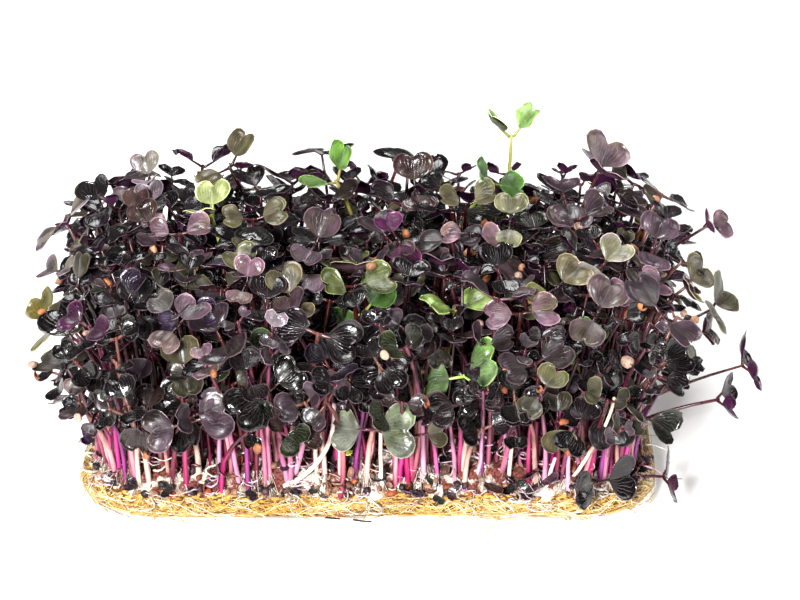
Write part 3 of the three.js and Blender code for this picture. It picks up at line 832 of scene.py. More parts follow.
# Between what shares of its colour a leaf's brightness is drawn: of a green one, of one whose look is given,
# and of the others, which are dark and glossy or pale.
GREEN_SHADE = (0.48, 0.62)
GIVEN_SHADE = (0.38, 0.62)
DARK_SHADE = (0.03, 0.33)
PALE_SHADE = (0.16, 0.56)
SHADE_POWER = 1.5
GLOSSY = 0.5
GLOSS = Named(stem=0.6, stalk=0.5, husk=0.3, root=0.4, felt=0.1, fibre=0.3, bud=0.4)
# The materials of a clump's piece, in this order.
LEAF_SLOT, STEM_SLOT, HULL_SLOT, ROOT_SLOT = range(4)


def with_gloss(colour, gloss):
    """Adds the gloss as a fourth value, to one colour or to each of several."""
    return np.concatenate([colour, np.full((*colour.shape[:-1], 1), gloss)], axis=-1)


def draw_tint(colours, shade, gloss, random):
    return with_gloss(choose(colours, random) * between(random, shade), gloss)


def stem_path(plant, shares, random):
    """A stem's line, which wavers a little, may bend at its foot, and starts inside the mat."""
    waves = np.sin(shares * between(random, STEM_FORM.waves) + random() * 6)
    waver = STEM_FORM.waver * np.sin(shares * math.pi) * waves
    waver += plant.foot_bend * np.exp(-STEM_FORM.foot * shares)
    turn = random() * math.pi * 2
    path = stem_points(plant, shares) + np.outer(waver, [math.cos(turn), math.sin(turn), 0])
    return np.concatenate([path[:1] - [[0, 0, STEM.sunk]], path])


def stem_colour(colours, shares, inner_shade_mask, random):
    """The colour at each point of a stem's line, which starts inside the mat, with painted shade for stems
    inside the stand.
    """
    foot, half, head = colours
    blend = np.concatenate([[0], shares])[:, None]
    lower, upper = np.minimum(blend * 3, 1), np.clip(blend * 3 - 1, 0, 1)
    colour = (foot * (1 - lower) + half * lower) * (1 - upper) + head * upper
    return colour * (1 - inner_shade_mask * DEEP_SHADE.stem_loss) * between(random, STEM_SHADE) ** STEM_DARKER


def shade_span(plant, skin, is_green):
    if is_green:
        return GREEN_SHADE
    if plant.look:
        return GIVEN_SHADE
    return DARK_SHADE if skin.gloss > GLOSSY else PALE_SHADE


def stalk_path(leaf, shares):
    """A leaf stalk's line, from inside the stem to under the blade."""
    reach = shares * leaf.petiole
    line = leaf.start + np.outer(reach - 0.5 * STEM.radius, leaf.out)
    sag = STALK_SAG + leaf.droop * reach ** 2 / (leaf.petiole + leaf.length)
    return line - np.outer(sag, leaf.up)


def add_seedlings(heap, plants, mesh, random, stem=None):
    """Adds the stems, leaf stalks and blades of some seedlings. The green ones share a given stem look."""
    if not plants:
        return
    blades, blade_tints, stems, stem_tints, stalks, stalk_tints = [], [], [], [], [], []
    for plant in plants:
        skin = plant.look or pick(LEAF_LOOKS, random)
        colours = (stem or pick(STEM_LOOKS, random)).colours
        stems.append(stem_path(plant, mesh.stem_shares, random))
        # Painted shade: seedlings farther inside the tray's outline get darker stems, and darker leaves below
        # the stand's top; green seedlings get none.
        inner_shade_mask = 0 if stem else min(1, max(0, inset_of(*plant.root[:2]) - DEEP_SHADE.start) / DEEP_SHADE.band)
        colour = stem_colour(colours, mesh.stem_shares, inner_shade_mask, random)
        stem_tints.append(with_gloss(colour, GLOSS.stem))
        # How far the leaves are below the stand's top, for their painted shade; then painted light and shade
        # by the low patches, darker in them and brighter elsewhere, except for leaves whose look is given.
        below = min(1, max(0, DEEP_SHADE.top - plant.tip[2]) / DEEP_SHADE.fall)
        light = 1 if plant.look else DEEP_SHADE.patch_light - DEEP_SHADE.patch_loss * low_shaded_patch(*plant.tip[:2])
        for leaf in plant.leaves:
            blades.append(blade_points(leaf, mesh.vertices, random))
            shade = between(lambda: random() ** SHADE_POWER, shade_span(plant, skin, bool(stem)))
            # The leaf's colour carries the painted shade and painted light.
            shade = shade * (1 - inner_shade_mask * below * DEEP_SHADE.leaf_loss) * light
            blade_tints.append(with_gloss(skin.colour * shade, skin.gloss))
            stalks.append(stalk_path(leaf, mesh.stalk_shares))
            stalk_tints.append(with_gloss(colour[-1], GLOSS.stalk))
    scale = np.array([between(random, STEM_FORM.scale) for _ in plants])[:, None]
    radii = scale * np.concatenate([[1.0], STEM_FORM.radius - STEM_FORM.thinner * mesh.stem_shares])
    heap.add_tubes(np.array(stems), radii, mesh.stem_sides, STEM_SLOT, stem_tints)
    radii = np.tile(mesh.stalk_radii, (len(stalks), 1))
    heap.add_tubes(np.array(stalks), radii, mesh.stalk_sides, STEM_SLOT, stalk_tints)
    heap.add(np.array(blades), mesh.quads, [], LEAF_SLOT, np.array(blade_tints)[:, None], mesh.places)


# ---- Seed coats, root plugs, rootlets and root hair ----
def shell_template(rings=4, sides=9):
    """An empty half of a seed coat: a thin torn cup of about unit radius, inside and outside."""
    turn = angles(sides)
    tear = 1 + 0.26 * np.sin(turn * 3 + 0.6) + 0.14 * np.sin(turn * 5)
    layers = []
    for radius, levels in ((1.0, range(1, rings + 1)), (0.84, range(rings, 0, -1))):
        for level in levels:
            angle = 1.5 * level / rings * (1 + (tear - 1) * level / rings)
            ring = [np.sin(angle) * np.cos(turn), 0.86 * np.sin(angle) * np.sin(turn), -0.8 * np.cos(angle)]
            layers.append(radius * np.stack(ring, axis=1))
    return stacked(layers, [[0, 0, -0.8], [0, 0, -0.67]])


def coat_template(rings=6, sides=9):
    """A folded seed coat: a small bean with a crease along one side."""
    turn = angles(sides)
    layers = []
    for level in range(1, rings + 1):
        angle = math.pi * level / (rings + 1)
        crease = 1 - 0.34 * np.exp(-((np.minimum(turn, 2 * math.pi - turn)) / 0.5) ** 2) * math.sin(angle)
        lump = 1 + 0.08 * np.sin(turn * 2 + level * 2.1) + 0.05 * np.sin(turn * 4 - level)
        reach = crease * lump * math.sin(angle)
        layers.append(np.stack([reach * np.cos(turn), 0.82 * reach * np.sin(turn),
                                np.full(sides, -1.08 * math.cos(angle))], axis=1))
    return stacked(layers, [[0, 0, -1.05], [0, 0, 1.05]])


SHELL = shell_template()
COAT = coat_template()
HUSK_FORM = Named(width=(0.55, 1), height=(0.5, 0.95), shade=(0.3, 0.85))
HUSK_COLOURS = palette("#a84f22 #b98467 #7d3618 #63301c #c69070 #b0623a")
CLINGING_COLOURS = palette("#c98e6c #bd7445 #d8b098 #a2562f")
SEED_COLOURS = palette("#241017 #2e1420 #42202a #1c1013")


def spin(random):
    """A random rotation matrix."""
    def turned(angle, axes):
        matrix = np.eye(3)
        matrix[np.ix_(axes, axes)] = [[math.cos(angle), -math.sin(angle)], [math.sin(angle), math.cos(angle)]]
        return matrix

    a, b, c = (random() * 2 * math.pi for _ in range(3))
    return turned(a, (0, 1)) @ turned(b, (1, 2)) @ turned(c, (0, 1))


def add_husks(heap, places, shape, size, random, colours=HUSK_COLOURS, shade=HUSK_FORM.shade):
    """Seed coats of one shape, turned any way and pressed more or less flat."""
    if not places:
        return
    vertices, quads, tris = shape
    bodies, tints = [], []
    for place in places:
        flat = vertices * [1, between(random, HUSK_FORM.width), between(random, HUSK_FORM.height)]
        bodies.append(place + between(random, size) * flat @ spin(random).T)
        tints.append(draw_tint(colours, shade, GLOSS.husk, random))
    heap.add(np.array(bodies), quads, tris, HULL_SLOT, np.array(tints)[:, None])


# The root plug's profile is (share of its radius, height above the mat's top).
PLUG = Named(profile=[(1.0, -HOLE.depth), (1.0, -1.0), (1.02, 0.1), (0.9, 0.9), (0.62, 1.3), (0.3, 1.5)],
             sides=18, colour=linear("#6d5138"), shade=(0.6, 1.1))


def add_plug(heap, at, radius, random):
    """The clump's root plug, whose top is a low lumpy mound."""
    turn = angles(PLUG.sides)
    phase = random() * 6
    rings = []
    for level, (share, height) in enumerate(PLUG.profile):
        lumps = 1 + (0.1 * np.sin(turn * 3 + phase + level) + 0.06 * np.sin(turn * 7 - phase)) * (level > 1)
        rise = 0.25 * np.sin(turn * 4 + phase * 2 + level * 1.7) * (level > 1)
        ring = [at[0] + radius * share * lumps * np.cos(turn), at[1] + radius * share * lumps * np.sin(turn)]
        rings.append(np.stack([*ring, MAT.top + height + rise], axis=1))
    ends = [[*at, MAT.top + PLUG.profile[0][1]], [*at, MAT.top + PLUG.profile[-1][1] + 0.1]]
    tint = with_gloss(PLUG.colour * between(random, PLUG.shade), GLOSS.felt)
    points, quads, tris = stacked(rings, ends)
    heap.add(points[None], quads, tris, ROOT_SLOT, tint)


def curls(starts, length, steps, curl, rise, random):
    """Wandering lines from the given starts: paths of (line, point, 3)."""
    paths = []
    for start in starts:
        heading, turn = random() * 2 * math.pi, (random() - 0.5) * curl
        climb = between(random, rise)
        step = between(random, length) / steps
        point = np.array(start, dtype=float)
        path = [point]
        for _ in range(steps):
            turn += (random() - 0.5) * curl
            heading += turn
            climb = climb * 0.75 + (random() - 0.55) * 0.5
            point = point + step * unit(np.array([math.cos(heading), math.sin(heading), climb]))
            point[2] = max(point[2], MAT.top + 0.1)
            path.append(point)
        paths.append(path)
    return np.array(paths)


# What is round the stems' feet: rootlets, root hair on the stems, felted tufts, and fallen coats, seeds and
# leaves. For each clump, how many there are, and for each kind its size and how high up it lies.
ROOTLET = Named(each=14, steps=10, sides=4, length=(9, 22), radius=(0.22, 0.48), thinnest=0.4,
                height=(0.2, 6), curl=1.5, rise=(-0.4, 0.9), shade=(0.5, 0.95))
SKIRT = Named(tufts=8, hairs=20, steps=3, sides=3, from_height=(2.5, 9), start=0.8, reach=(1.2, 4.5),
              radius=(0.06, 0.13), shade=(0.85, 1.05))
PUFF = Named(radius=(2.0, 4.6), flat=(0.45, 0.8), rings=6, sides=10, shade=(0.8, 1))
HUSKS = Named(shells=14, coats=3, seeds=6, leaves=7, size=(1.0, 1.9), height=(0.4, 8))
# Coats that still cling to leaves: on what share of the model's seedlings, and of the others in each row.
CLINGING = Named(share=0.13, filler_share=(0.3, 0.2, 0.13, 0.1, 0.1), coat_size=(1.5, 2.2),
                 shell_size=(1.7, 2.4), shade=(0.4, 0.85))
# The litter's mound: its height, the size of its humps, and how far inside the tray's outline it begins.
MOUND = Named(height=(1.5, 7.5), size=19, seed=9, start=5.6, band=3.4)
# Litter lies within a square round its clump, but nearer to the tray's edge, where it's also less deep.
PATCH = Named(across=26, push=9, inset=5, thin_from=2, thin_band=5, low_power=1.3)
ROOT_COLOURS = palette("#fbf4e9 #f4e6d6 #f6d9e6 #e9d8c4 #e8b9cf")
FELT_COLOURS = palette("#e9dfd2 #cdbfb0 #a8947f #8a7564 #efe8de")


def add_puffs(heap, places, random):
    """Small tufts of matted root hair."""
    turn = angles(PUFF.sides)
    bodies = []
    for place in places:
        radius, flat = between(random, PUFF.radius), between(random, PUFF.flat)
        layers = []
        for level in range(1, PUFF.rings + 1):
            angle = math.pi * level / (PUFF.rings + 1)
            lump = 1 + 0.22 * np.sin(turn * 3 + random() * 6) + 0.14 * np.sin(turn * 5 + random() * 6)
            reach = radius * lump * math.sin(angle) * (1 - 0.3 * level / PUFF.rings)
            height = np.full(PUFF.sides, -radius * flat * math.cos(angle))
            layers.append(np.stack([reach * np.cos(turn), reach * np.sin(turn), height], axis=1))
        points, quads, tris = stacked(layers, [[0, 0, -radius * flat * 0.97], [0, 0, radius * flat * 0.97]])
        bodies.append(place + points)
    tints = [draw_tint(FELT_COLOURS, PUFF.shade, GLOSS.felt, random) for _ in places]
    heap.add(np.array(bodies), quads, tris, ROOT_SLOT, np.array(tints)[:, None])


def mound(spots, insets):
    """How high the litter is heaped on the mat, away from its edge."""
    low, high = MOUND.height
    heights = low + (high - low) * bumps(spots, MOUND.size, MOUND.seed)
    return heights * np.clip((insets - MOUND.start) / MOUND.band, 0, 1)


def litter_spot(clump, height, random):
    """A place in the litter round a clump, up to the given heights above the mound."""
    x = clump.at[0] + (random() - 0.5) * PATCH.across
    y = clump.at[1] + (random() - 0.5) * PATCH.across
    at_edge, outward = edge_of(x, y)
    push = at_edge * random() * PATCH.push
    x, y = keep_inside(x + push * math.cos(outward), y + push * math.sin(outward), PATCH.inset)
    depth = min(1, (inset_of(x, y) - PATCH.thin_from) / PATCH.thin_band)
    base = MAT.top + float(mound(np.array([[x, y]]), inset_of(x, y))[0])
    return np.array([x, y, base + depth * between(lambda: random() ** PATCH.low_power, height)])


def add_rootlets(heap, starts, random):
    """Pale roots that wander through the litter."""
    paths = curls(starts, ROOTLET.length, ROOTLET.steps, ROOTLET.curl, ROOTLET.rise, random)
    taper = np.linspace(1, ROOTLET.thinnest, ROOTLET.steps + 1)
    radii = np.array([between(random, ROOTLET.radius) * taper for _ in starts])
    tints = [draw_tint(ROOT_COLOURS, ROOTLET.shade, GLOSS.root, random) for _ in starts]
    heap.add_tubes(paths, radii, ROOTLET.sides, ROOT_SLOT, tints)


def add_skirts(heap, plants, random):
    """Root hair that stands round the feet of some stems, from a little way up the stem down to the mat."""
    shares = np.linspace(0, 1, SKIRT.steps + 1)
    paths, tints = [], []
    for plant in plants:
        colour = choose(FELT_COLOURS, random)
        top = between(random, SKIRT.from_height)
        for _ in range(SKIRT.hairs):
            angle, far = random() * 2 * math.pi, between(random, SKIRT.reach)
            outward = np.array([math.cos(angle), math.sin(angle), 0])
            high = plant.root + outward * SKIRT.start + [0, 0, top * between(random, (0.4, 1))]
            low = plant.root + outward * far + [0, 0, between(random, (0.1, 1.2))]
            sag = outward * between(random, (-0.6, 0.6)) + [0, 0, between(random, (-0.9, 0.5))]
            paths.append(curve(high, (high + low) / 2 + sag, low, shares))
            tints.append(with_gloss(colour * between(random, SKIRT.shade), GLOSS.felt))
    radii = np.array([between(random, SKIRT.radius) * np.ones(SKIRT.steps + 1) for _ in paths])
    heap.add_tubes(np.array(paths), radii, SKIRT.sides, ROOT_SLOT, tints)


def add_litter(heap, clump, random, share=1.0):
    """Rootlets, root hair and fallen seed coats round the feet of a clump's stems."""
    def spots(count, height):
        return [litter_spot(clump, height, random) for _ in range(round(count * share))]

    add_rootlets(heap, spots(ROOTLET.each, ROOTLET.height), random)
    stems = sorted(clump.plants + clump.fillers, key=lambda plant: inset_of(*plant.root[:2]))
    chosen = stems[:max(1, round(SKIRT.tufts * share))]
    add_skirts(heap, chosen, random)
    beside = [plant.root + np.array([random() * 2 - 1, random() * 2 - 1, 0.2]) for plant in chosen]
    add_puffs(heap, beside, random)
    add_husks(heap, spots(HUSKS.shells, HUSKS.height), SHELL, HUSKS.size, random)
    add_husks(heap, spots(HUSKS.coats, HUSKS.height), COAT, HUSKS.size, random)
    add_husks(heap, spots(HUSKS.seeds, HUSKS.height), COAT, HUSKS.size, random, SEED_COLOURS)
    add_fallen_leaves(heap, spots(HUSKS.leaves, HUSKS.height), random)


FALLEN_LEAF = Named(size=(0.25, 0.46), upright=1.2, rise=(-0.6, 0.6), fold=0.3, droop=0.1, shade=(0.5, 1.2))


def add_fallen_leaves(heap, places, random):
    """Small first leaves that lie or hang low between the stems."""
    for place in places:
        heading, size = random() * 2 * math.pi, between(random, FALLEN_LEAF.size)
        leaning = unit(np.array([random() - 0.5, random() - 0.5, FALLEN_LEAF.upright]))
        spread = (between(random, FALLEN_LEAF.rise), 0)
        plant = lay_out(place, place + leaning, 0.5, heading, spread, size, FALLEN_LEAF.fold,
                        FALLEN_LEAF.droop)
        blade = blade_points(plant.leaves[0], ROUGH.vertices, random)
        skin = pick(LEAF_LOOKS[:4] + [VIOLET, MAGENTA], random)
        tint = with_gloss(skin.colour * between(random, FALLEN_LEAF.shade), skin.gloss)
        heap.add(blade[None], ROUGH.quads, [], LEAF_SLOT, tint, ROUGH.places)


def leaf_husk_places(plants, random, share):
    """Where seed coats still cling: on a lobe of the first leaf of some seedlings."""
    chosen = [plant.leaves[0] for plant in plants if random() < share]
    length, width = LEAF_SAMPLES[-1]
    return [leaf_points(leaf, np.array([length]), np.array([width]))[0] for leaf in chosen]


# ---- The tray and the mat ----
def outline_at(distance, inset):
    """Points of the tray's rounded outline, moved in by inset, at shares of the way round it."""
    half_x, half_y = TRAY.length / 2 - TRAY.corner, TRAY.width / 2 - TRAY.corner
    arc = TRAY.corner * math.pi / 2
    spans = np.array([2 * half_y, arc, 2 * half_x, arc] * 2)
    marks = running(spans)
    way = (distance % 1) * marks[-1]
    span = np.clip(np.searchsorted(marks, way, side="right") - 1, 0, 7)
    share = (way - marks[span]) / spans[span]
    quarter = span // 2
    centres = np.array([(half_x, half_y), (-half_x, half_y), (-half_x, -half_y), (half_x, -half_y)])
    on_arc = span % 2 == 1
    centre = centres[quarter]
    from_centre = centres[(quarter - 1) % 4]
    foot = np.where(on_arc[:, None], centre, from_centre + (centre - from_centre) * share[:, None])
    angle = (quarter + np.where(on_arc, share, 0)) * math.pi / 2
    outward = np.stack([np.cos(angle), np.sin(angle)], axis=1)
    return foot + outward * (TRAY.corner - inset)[:, None]


def ring_stack(profile, around, ripple=0.0, seed=0):
    """A closed body through rings of the tray's outline: profile is (inset, z) from the bottom up."""
    shares = np.arange(around) / around
    rings = []
    for level, (inset, z) in enumerate(profile):
        wave = ripple * (np.sin(shares * 2 * math.pi * 37 + level * 1.9 + seed)
                         + 0.7 * np.sin(shares * 2 * math.pi * 83 - level * 2.3))
        points = outline_at(shares, np.full(around, inset) + wave)
        heights = z + 0.5 * ripple * np.sin(shares * 2 * math.pi * 61 + level)
        rings.append(np.column_stack([points, np.broadcast_to(heights, around)]))
    ends = [[0, 0, profile[0][1]], [0, 0, profile[-1][1]]]
    points, quads, tris = stacked(rings, ends)
    return points[None], quads, tris


def make_tray(material):
    """The tray, with a rounded foot, drawn wall, rolled rim and a shallow step inside."""
    rim = TRAY.height
    outside = [(7, 0), (5, 0), (4.3, 0.12), (3.7, 0.5), (3.3, 1.1), (2.6, 3.4), (2.1, rim - 1.9),
               (1.7, rim - 1.5)]
    lip = [(0.7, rim - 1.42), (0.25, rim - 1.3), (0.04, rim - 1.0), (0.0, rim - 0.6), (0.12, rim - 0.25),
           (0.5, rim - 0.04), (1.1, rim), (2.2, rim), (2.8, rim - 0.1), (3.1, rim - 0.5)]
    inside = [(3.9, 3.2), (4.3, 2.0), (4.9, 1.4), (5.8, 1.2), (20, 1.2)]
    heap = Heap()
    heap.add(*ring_stack(outside + lip + inside, around=200), 0, np.array([1, 1, 1, 0.5]))
    return heap.make("tray_shell", [material])


MAT_SIDE = [(6.4, 1.6), (4.9, 2.4), (3.9, 6.7), (2.8, 7.6), (2.0, 8.4), (1.7, 9.4), (2.0, 10.5), (3.1, 11.4)]
# From what inset to what inset the bed reaches, and its level before it's made lumpy.
BED = Named(start=4.2, end=24.5, rings=24, level=12.1, around=320, tolerance=0.3, base=-0.9)
# The bed's lumps as (height, size, seed), and where the fibre gives way to litter on it.
BED_LUMPS = [(1.9, 5.1, 1), (1.3, 2.3, 2), (0.8, 1.1, 3)]
BED_LITTER = Named(start=5.0, band=1.2)


def make_mat_core(material):
    """The dense inside of the mat, which the loose fibres cover, and the lumpy bed on top of it."""
    bed = [(inset, BED.level) for inset in np.linspace(BED.start, BED.end, BED.rings)]
    points, quads, tris = ring_stack(MAT_SIDE + bed, BED.around, ripple=0.3, seed=4)
    heights = points[0, :, 2]
    on_bed = heights > BED.level - BED.tolerance
    spots = points[0, :, :2]
    lumps = sum(height * bumps(spots, size, seed) for height, size, seed in BED_LUMPS) + BED.base
    insets = np.array([inset_of(*spot) for spot in spots])
    lumps += mound(spots, insets)
    heights[on_bed] += lumps[on_bed]
    litter = np.clip((insets - BED_LITTER.start) / BED_LITTER.band, 0, 1) * on_bed
    tint = np.concatenate([np.ones((len(spots), 3)), litter[:, None]], axis=1)
    heap = Heap()
    heap.add(points, quads, tris, 0, tint[None])
    return heap.make("mat_core", [material])


FIBRE = Named(steps=8, sides=3, radius=(0.09, 0.2), side_count=2420, top_count=220, seed=11)
FIBRE_LOOKS = [
    look("#dfb058", GLOSS.fibre, share=0.30),
    look("#eed294", GLOSS.fibre, share=0.30),
    # Near-white fibres: partly pale strands, partly a painted highlight of fibres lit from above.
    look("#f9f0d8", GLOSS.fibre, share=0.22),
    look("#c48a38", GLOSS.fibre, share=0.11),
    look("#7a4c1c", GLOSS.fibre, share=0.07),
]
FIBRE_SHADE = (0.66, 1.02)
# How a fibre of the edge runs and curls, how far it hangs below the hem, and how it stands out from the mat.
SIDE_FIBRE = Named(fan=0.7, fan_share=0.72, wide_fan=2.8, curl=0.85, length=(11, 32), hang=(-0.3, 0.2),
                   hang_share=0.88, long_hang=(0.3, 1), rise=(-0.35, 0.45), lift=0.16,
                   rise_limits=(-0.5, 1.3))
TOP_FIBRE = Named(curl=0.8, length=(9, 24), inset=(6, 14), end_inset=4.5, rise=(0, 1.6), lift=0.12, highest=3)
# The mat's side as the fibres follow it: over the tray's rim, round the bulge and onto the top.
FIBRE_TRACK = np.array([(-0.35, 3.4), (-0.3, 5.6), (0.0, 7.2), (0.7, 8.4), (1.1, 10.0), (2.1, 11.6),
                        (4.0, 12.5), (7, 12.9), (12, 13.0)])
# Fibres start above this point of the track. Where one passes it, it's turned back or hangs over the rim.
FIBRE_HEM = 5.4
TRACK_WAY = way_along(FIBRE_TRACK)
PERIMETER = 2 * (TRAY.length + TRAY.width) - 8 * TRAY.corner + 2 * math.pi * TRAY.corner


def curl_of(steps, wander, random):
    """Headings along a wandering fibre."""
    turns = np.array([(random() + random() + random() - 1.5) * wander for _ in range(steps)])
    return np.cumsum(turns)


def side_fibre(random):
    """A fibre of the mat's edge: most run along it, some at any angle, and all of them curl."""
    aim = random() - 0.5
    fan = SIDE_FIBRE.fan if random() < SIDE_FIBRE.fan_share else SIDE_FIBRE.wide_fan
    heading = aim * fan + curl_of(FIBRE.steps, SIDE_FIBRE.curl, random)
    step = between(random, SIDE_FIBRE.length) / FIBRE.steps
    start = between(random, (FIBRE_HEM, TRACK_WAY[-1] - 1))
    across = start + running(step * np.sin(heading))
    hang = between(random, SIDE_FIBRE.hang if random() < SIDE_FIBRE.hang_share else SIDE_FIBRE.long_hang)
    across = np.where(across < FIBRE_HEM, FIBRE_HEM + (across - FIBRE_HEM) * hang, across)
    along = random() + running(step * np.cos(heading)) / PERIMETER
    inset = np.interp(across, TRACK_WAY, FIBRE_TRACK[:, 0])
    height = np.interp(across, TRACK_WAY, FIBRE_TRACK[:, 1])
    rise = between(random, SIDE_FIBRE.rise)
    rise = rise + 0.5 * random() * np.cumsum(curl_of(FIBRE.steps + 1, SIDE_FIBRE.lift, random))
    rise = np.clip(rise, *SIDE_FIBRE.rise_limits)
    points = outline_at(along, inset - rise * 0.7)
    return np.column_stack([points, height + rise * 0.6])


def top_fibre(random):
    """A fibre that lies anywhere on the mat's upper face."""
    heading = random() * 2 * math.pi + curl_of(FIBRE.steps, TOP_FIBRE.curl, random)
    step = between(random, TOP_FIBRE.length) / FIBRE.steps
    x, y = (random() - 0.5) * TRAY.length, (random() - 0.5) * TRAY.width
    x, y = keep_inside(x, y, between(random, TOP_FIBRE.inset))
    xs = x + running(step * np.cos(heading))
    ys = y + running(step * np.sin(heading))
    inside = np.array([keep_inside(u, v, TOP_FIBRE.end_inset) for u, v in zip(xs, ys)])
    height = MAT.top + between(random, TOP_FIBRE.rise)
    lift = np.cumsum(curl_of(FIBRE.steps + 1, TOP_FIBRE.lift, random))
    return np.column_stack([inside, np.clip(height + lift, MAT.top, MAT.top + TOP_FIBRE.highest)])


def make_fibres(name, draw_path, count, seed, material):
    """One piece of many fibres, which are thinner at their ends."""
    random = seeded(seed)
    paths = np.array([draw_path(random) for _ in range(count)])
    taper = 1 - 0.55 * np.abs(np.linspace(-1, 1, FIBRE.steps + 1)) ** 3
    radii = np.array([between(random, FIBRE.radius) for _ in paths])[:, None] * taper
    tints = [with_gloss(pick(FIBRE_LOOKS, random).colour * between(random, FIBRE_SHADE), GLOSS.fibre)
             for _ in paths]
    heap = Heap()
    heap.add_tubes(paths, radii, FIBRE.sides, 0, tints)
    return heap.make(name, [material])


# ---- Materials ----
class Graph:
    """A material's nodes. Each call makes a node and returns the socket that carries its result."""

    def __init__(self, name):
        self.material = bpy.data.materials.new(name)
        self.material.use_nodes = True
        self.tree = self.material.node_tree
        self.shader = self.tree.nodes["Principled BSDF"]

    def node(self, kind, output, inputs, **settings):
        node = self.tree.nodes.new(kind)
        for key, value in settings.items():
            setattr(node, key, value)
        for key, value in inputs.items():
            self.feed(node.inputs[key], value)
        return node.outputs[output]

    def feed(self, socket, value):
        if isinstance(value, bpy.types.NodeSocket):
            self.tree.links.new(value, socket)
        else:
            socket.default_value = value

    def finish(self, **inputs):
        for key, value in inputs.items():
            self.feed(self.shader.inputs[key.replace("_", " ")], value)
        return self.material

    def attribute(self, name, output="Color"):
        return self.node("ShaderNodeAttribute", output, {}, attribute_name=name)

    def split(self, vector):
        node = self.tree.nodes.new("ShaderNodeSeparateXYZ")
        self.feed(node.inputs[0], vector)
        return node.outputs

    def place(self, scale=(1, 1, 1)):
        spot = self.node("ShaderNodeTexCoord", "Object", {})
        return self.node("ShaderNodeMapping", 0, {"Vector": spot, "Scale": scale})

    def noise(self, scale, detail=3.0, stretch=(1, 1, 1)):
        return self.node("ShaderNodeTexNoise", "Fac",
                         {"Vector": self.place(stretch), "Scale": scale, "Detail": detail})

    def cells(self, scale):
        return self.node("ShaderNodeTexVoronoi", "Distance", {"Vector": self.place(), "Scale": scale},
                         feature="DISTANCE_TO_EDGE")

    def math(self, operation, a, b=0.0):
        return self.node("ShaderNodeMath", 0, {0: a, 1: b}, operation=operation)

    def times(self, a, b):
        return self.math("MULTIPLY", a, b)

    def plus(self, a, b):
        return self.math("ADD", a, b)

    def larger(self, a, b):
        return self.math("MAXIMUM", a, b)

    def ramp(self, value, low, high, to_low=0.0, to_high=1.0):
        return self.node("ShaderNodeMapRange", 0, {
            "Value": value, "From Min": low, "From Max": high, "To Min": to_low, "To Max": to_high,
        }, interpolation_type="SMOOTHSTEP")

    def mix(self, share, a, b, blend="MIX"):
        node = self.tree.nodes.new("ShaderNodeMix")
        node.data_type = "RGBA"
        node.blend_type = blend
        self.feed(node.inputs[0], share)
        self.feed(node.inputs[6], a)
        self.feed(node.inputs[7], b)
        return node.outputs[2]

    def scaled(self, colour, factor):
        return self.node("ShaderNodeVectorMath", 0, {0: colour, "Scale": factor}, operation="SCALE")

    def bump(self, height, strength, distance):
        return self.node("ShaderNodeBump", 0,
                         {"Height": height, "Strength": strength, "Distance": distance * MM})


def paint(code):
    """A hex code's colour, as the nodes take it."""
    return (*linear(code), 1.0)


def leaf_material():
    g = Graph("leaf_skin")
    tint, gloss = g.attribute("tint"), g.attribute("tint", "Alpha")
    fan, out, far = g.split(g.attribute("place", "Vector"))
    under = g.ramp(far, -0.02, 0.02, 1, 0)
    far = g.math("ABSOLUTE", far)
    blotches = g.noise(230, detail=4)
    grain = g.noise(2400, detail=3)
    greener = g.ramp(g.noise(75, detail=2), 0.48, 0.62)
    bend = g.times(g.times(far, far), 0.16)
    wander = g.plus(bend, g.times(g.noise(380, detail=2), 0.3))
    veins = g.math("PINGPONG", g.times(g.plus(fan, wander), 5.8), 0.5)
    veins = g.times(g.ramp(veins, 0.0, 0.12, 1, 0), g.ramp(out, 0.6, 0.98, 1, 0.1))
    net = g.ramp(g.cells(900), 0.0, 0.12, 0.28, 0)
    midrib = g.ramp(out, 0.0, 0.06, 1, 0)
    # The rim's pale line: partly the leaf's own paler edge, partly a painted highlight along it.
    rim = g.ramp(out, 0.93, 1.0)
    foot = g.ramp(far, 0.15, 0.65, 1, 0)
    shifted = g.node("ShaderNodeVectorMath", 0, {0: tint, 1: (0.98, 1.14, 0.74)}, operation="MULTIPLY")
    depth = g.times(g.ramp(blotches, 0.3, 0.7, 0.55, 1.4), g.ramp(out, 0.1, 0.95, 0.7, 1.25))
    base = g.scaled(g.mix(greener, tint, shifted), depth)
    pale = g.scaled(base, 1.9)
    pale = g.node("ShaderNodeVectorMath", 0, {0: pale, 1: (0.032, 0.024, 0.025)}, operation="ADD")
    lines = g.larger(g.larger(veins, net), midrib)
    colour = g.mix(g.times(lines, 0.8), base, pale)
    colour = g.mix(g.times(foot, 0.22), colour, pale)
    # Pale rim, partly the edge's own colour and partly painted highlight.
    colour = g.mix(g.times(rim, 0.9), colour, g.scaled(pale, 2.4))
    purple = g.mix(0.6, tint, paint("#431a3c"))
    colour = g.mix(under, colour, purple)
    roughness = g.plus(g.ramp(gloss, 0.0, 1.0, 0.43, 0.14), g.ramp(blotches, 0.35, 0.7, -0.04, 0.1))
    relief = g.times(g.larger(veins, midrib), -0.32)
    relief = g.plus(relief, g.times(g.noise(520, detail=3), 1.2))
    height = g.plus(relief, g.times(grain, 0.04))
    return g.finish(Base_Color=colour, Roughness=roughness, Specular_IOR_Level=0.5,
                    Normal=g.bump(height, 0.45, 0.25))


def stem_material():
    g = Graph("stem_skin")
    streaks = g.noise(900, detail=3, stretch=(1, 1, 0.1))
    colour = g.scaled(g.attribute("tint"), g.ramp(streaks, 0.3, 0.7, 0.7, 1.2))
    roughness = g.ramp(streaks, 0.3, 0.7, 0.22, 0.36)
    return g.finish(Base_Color=colour, Roughness=roughness, Normal=g.bump(streaks, 0.25, 0.15))


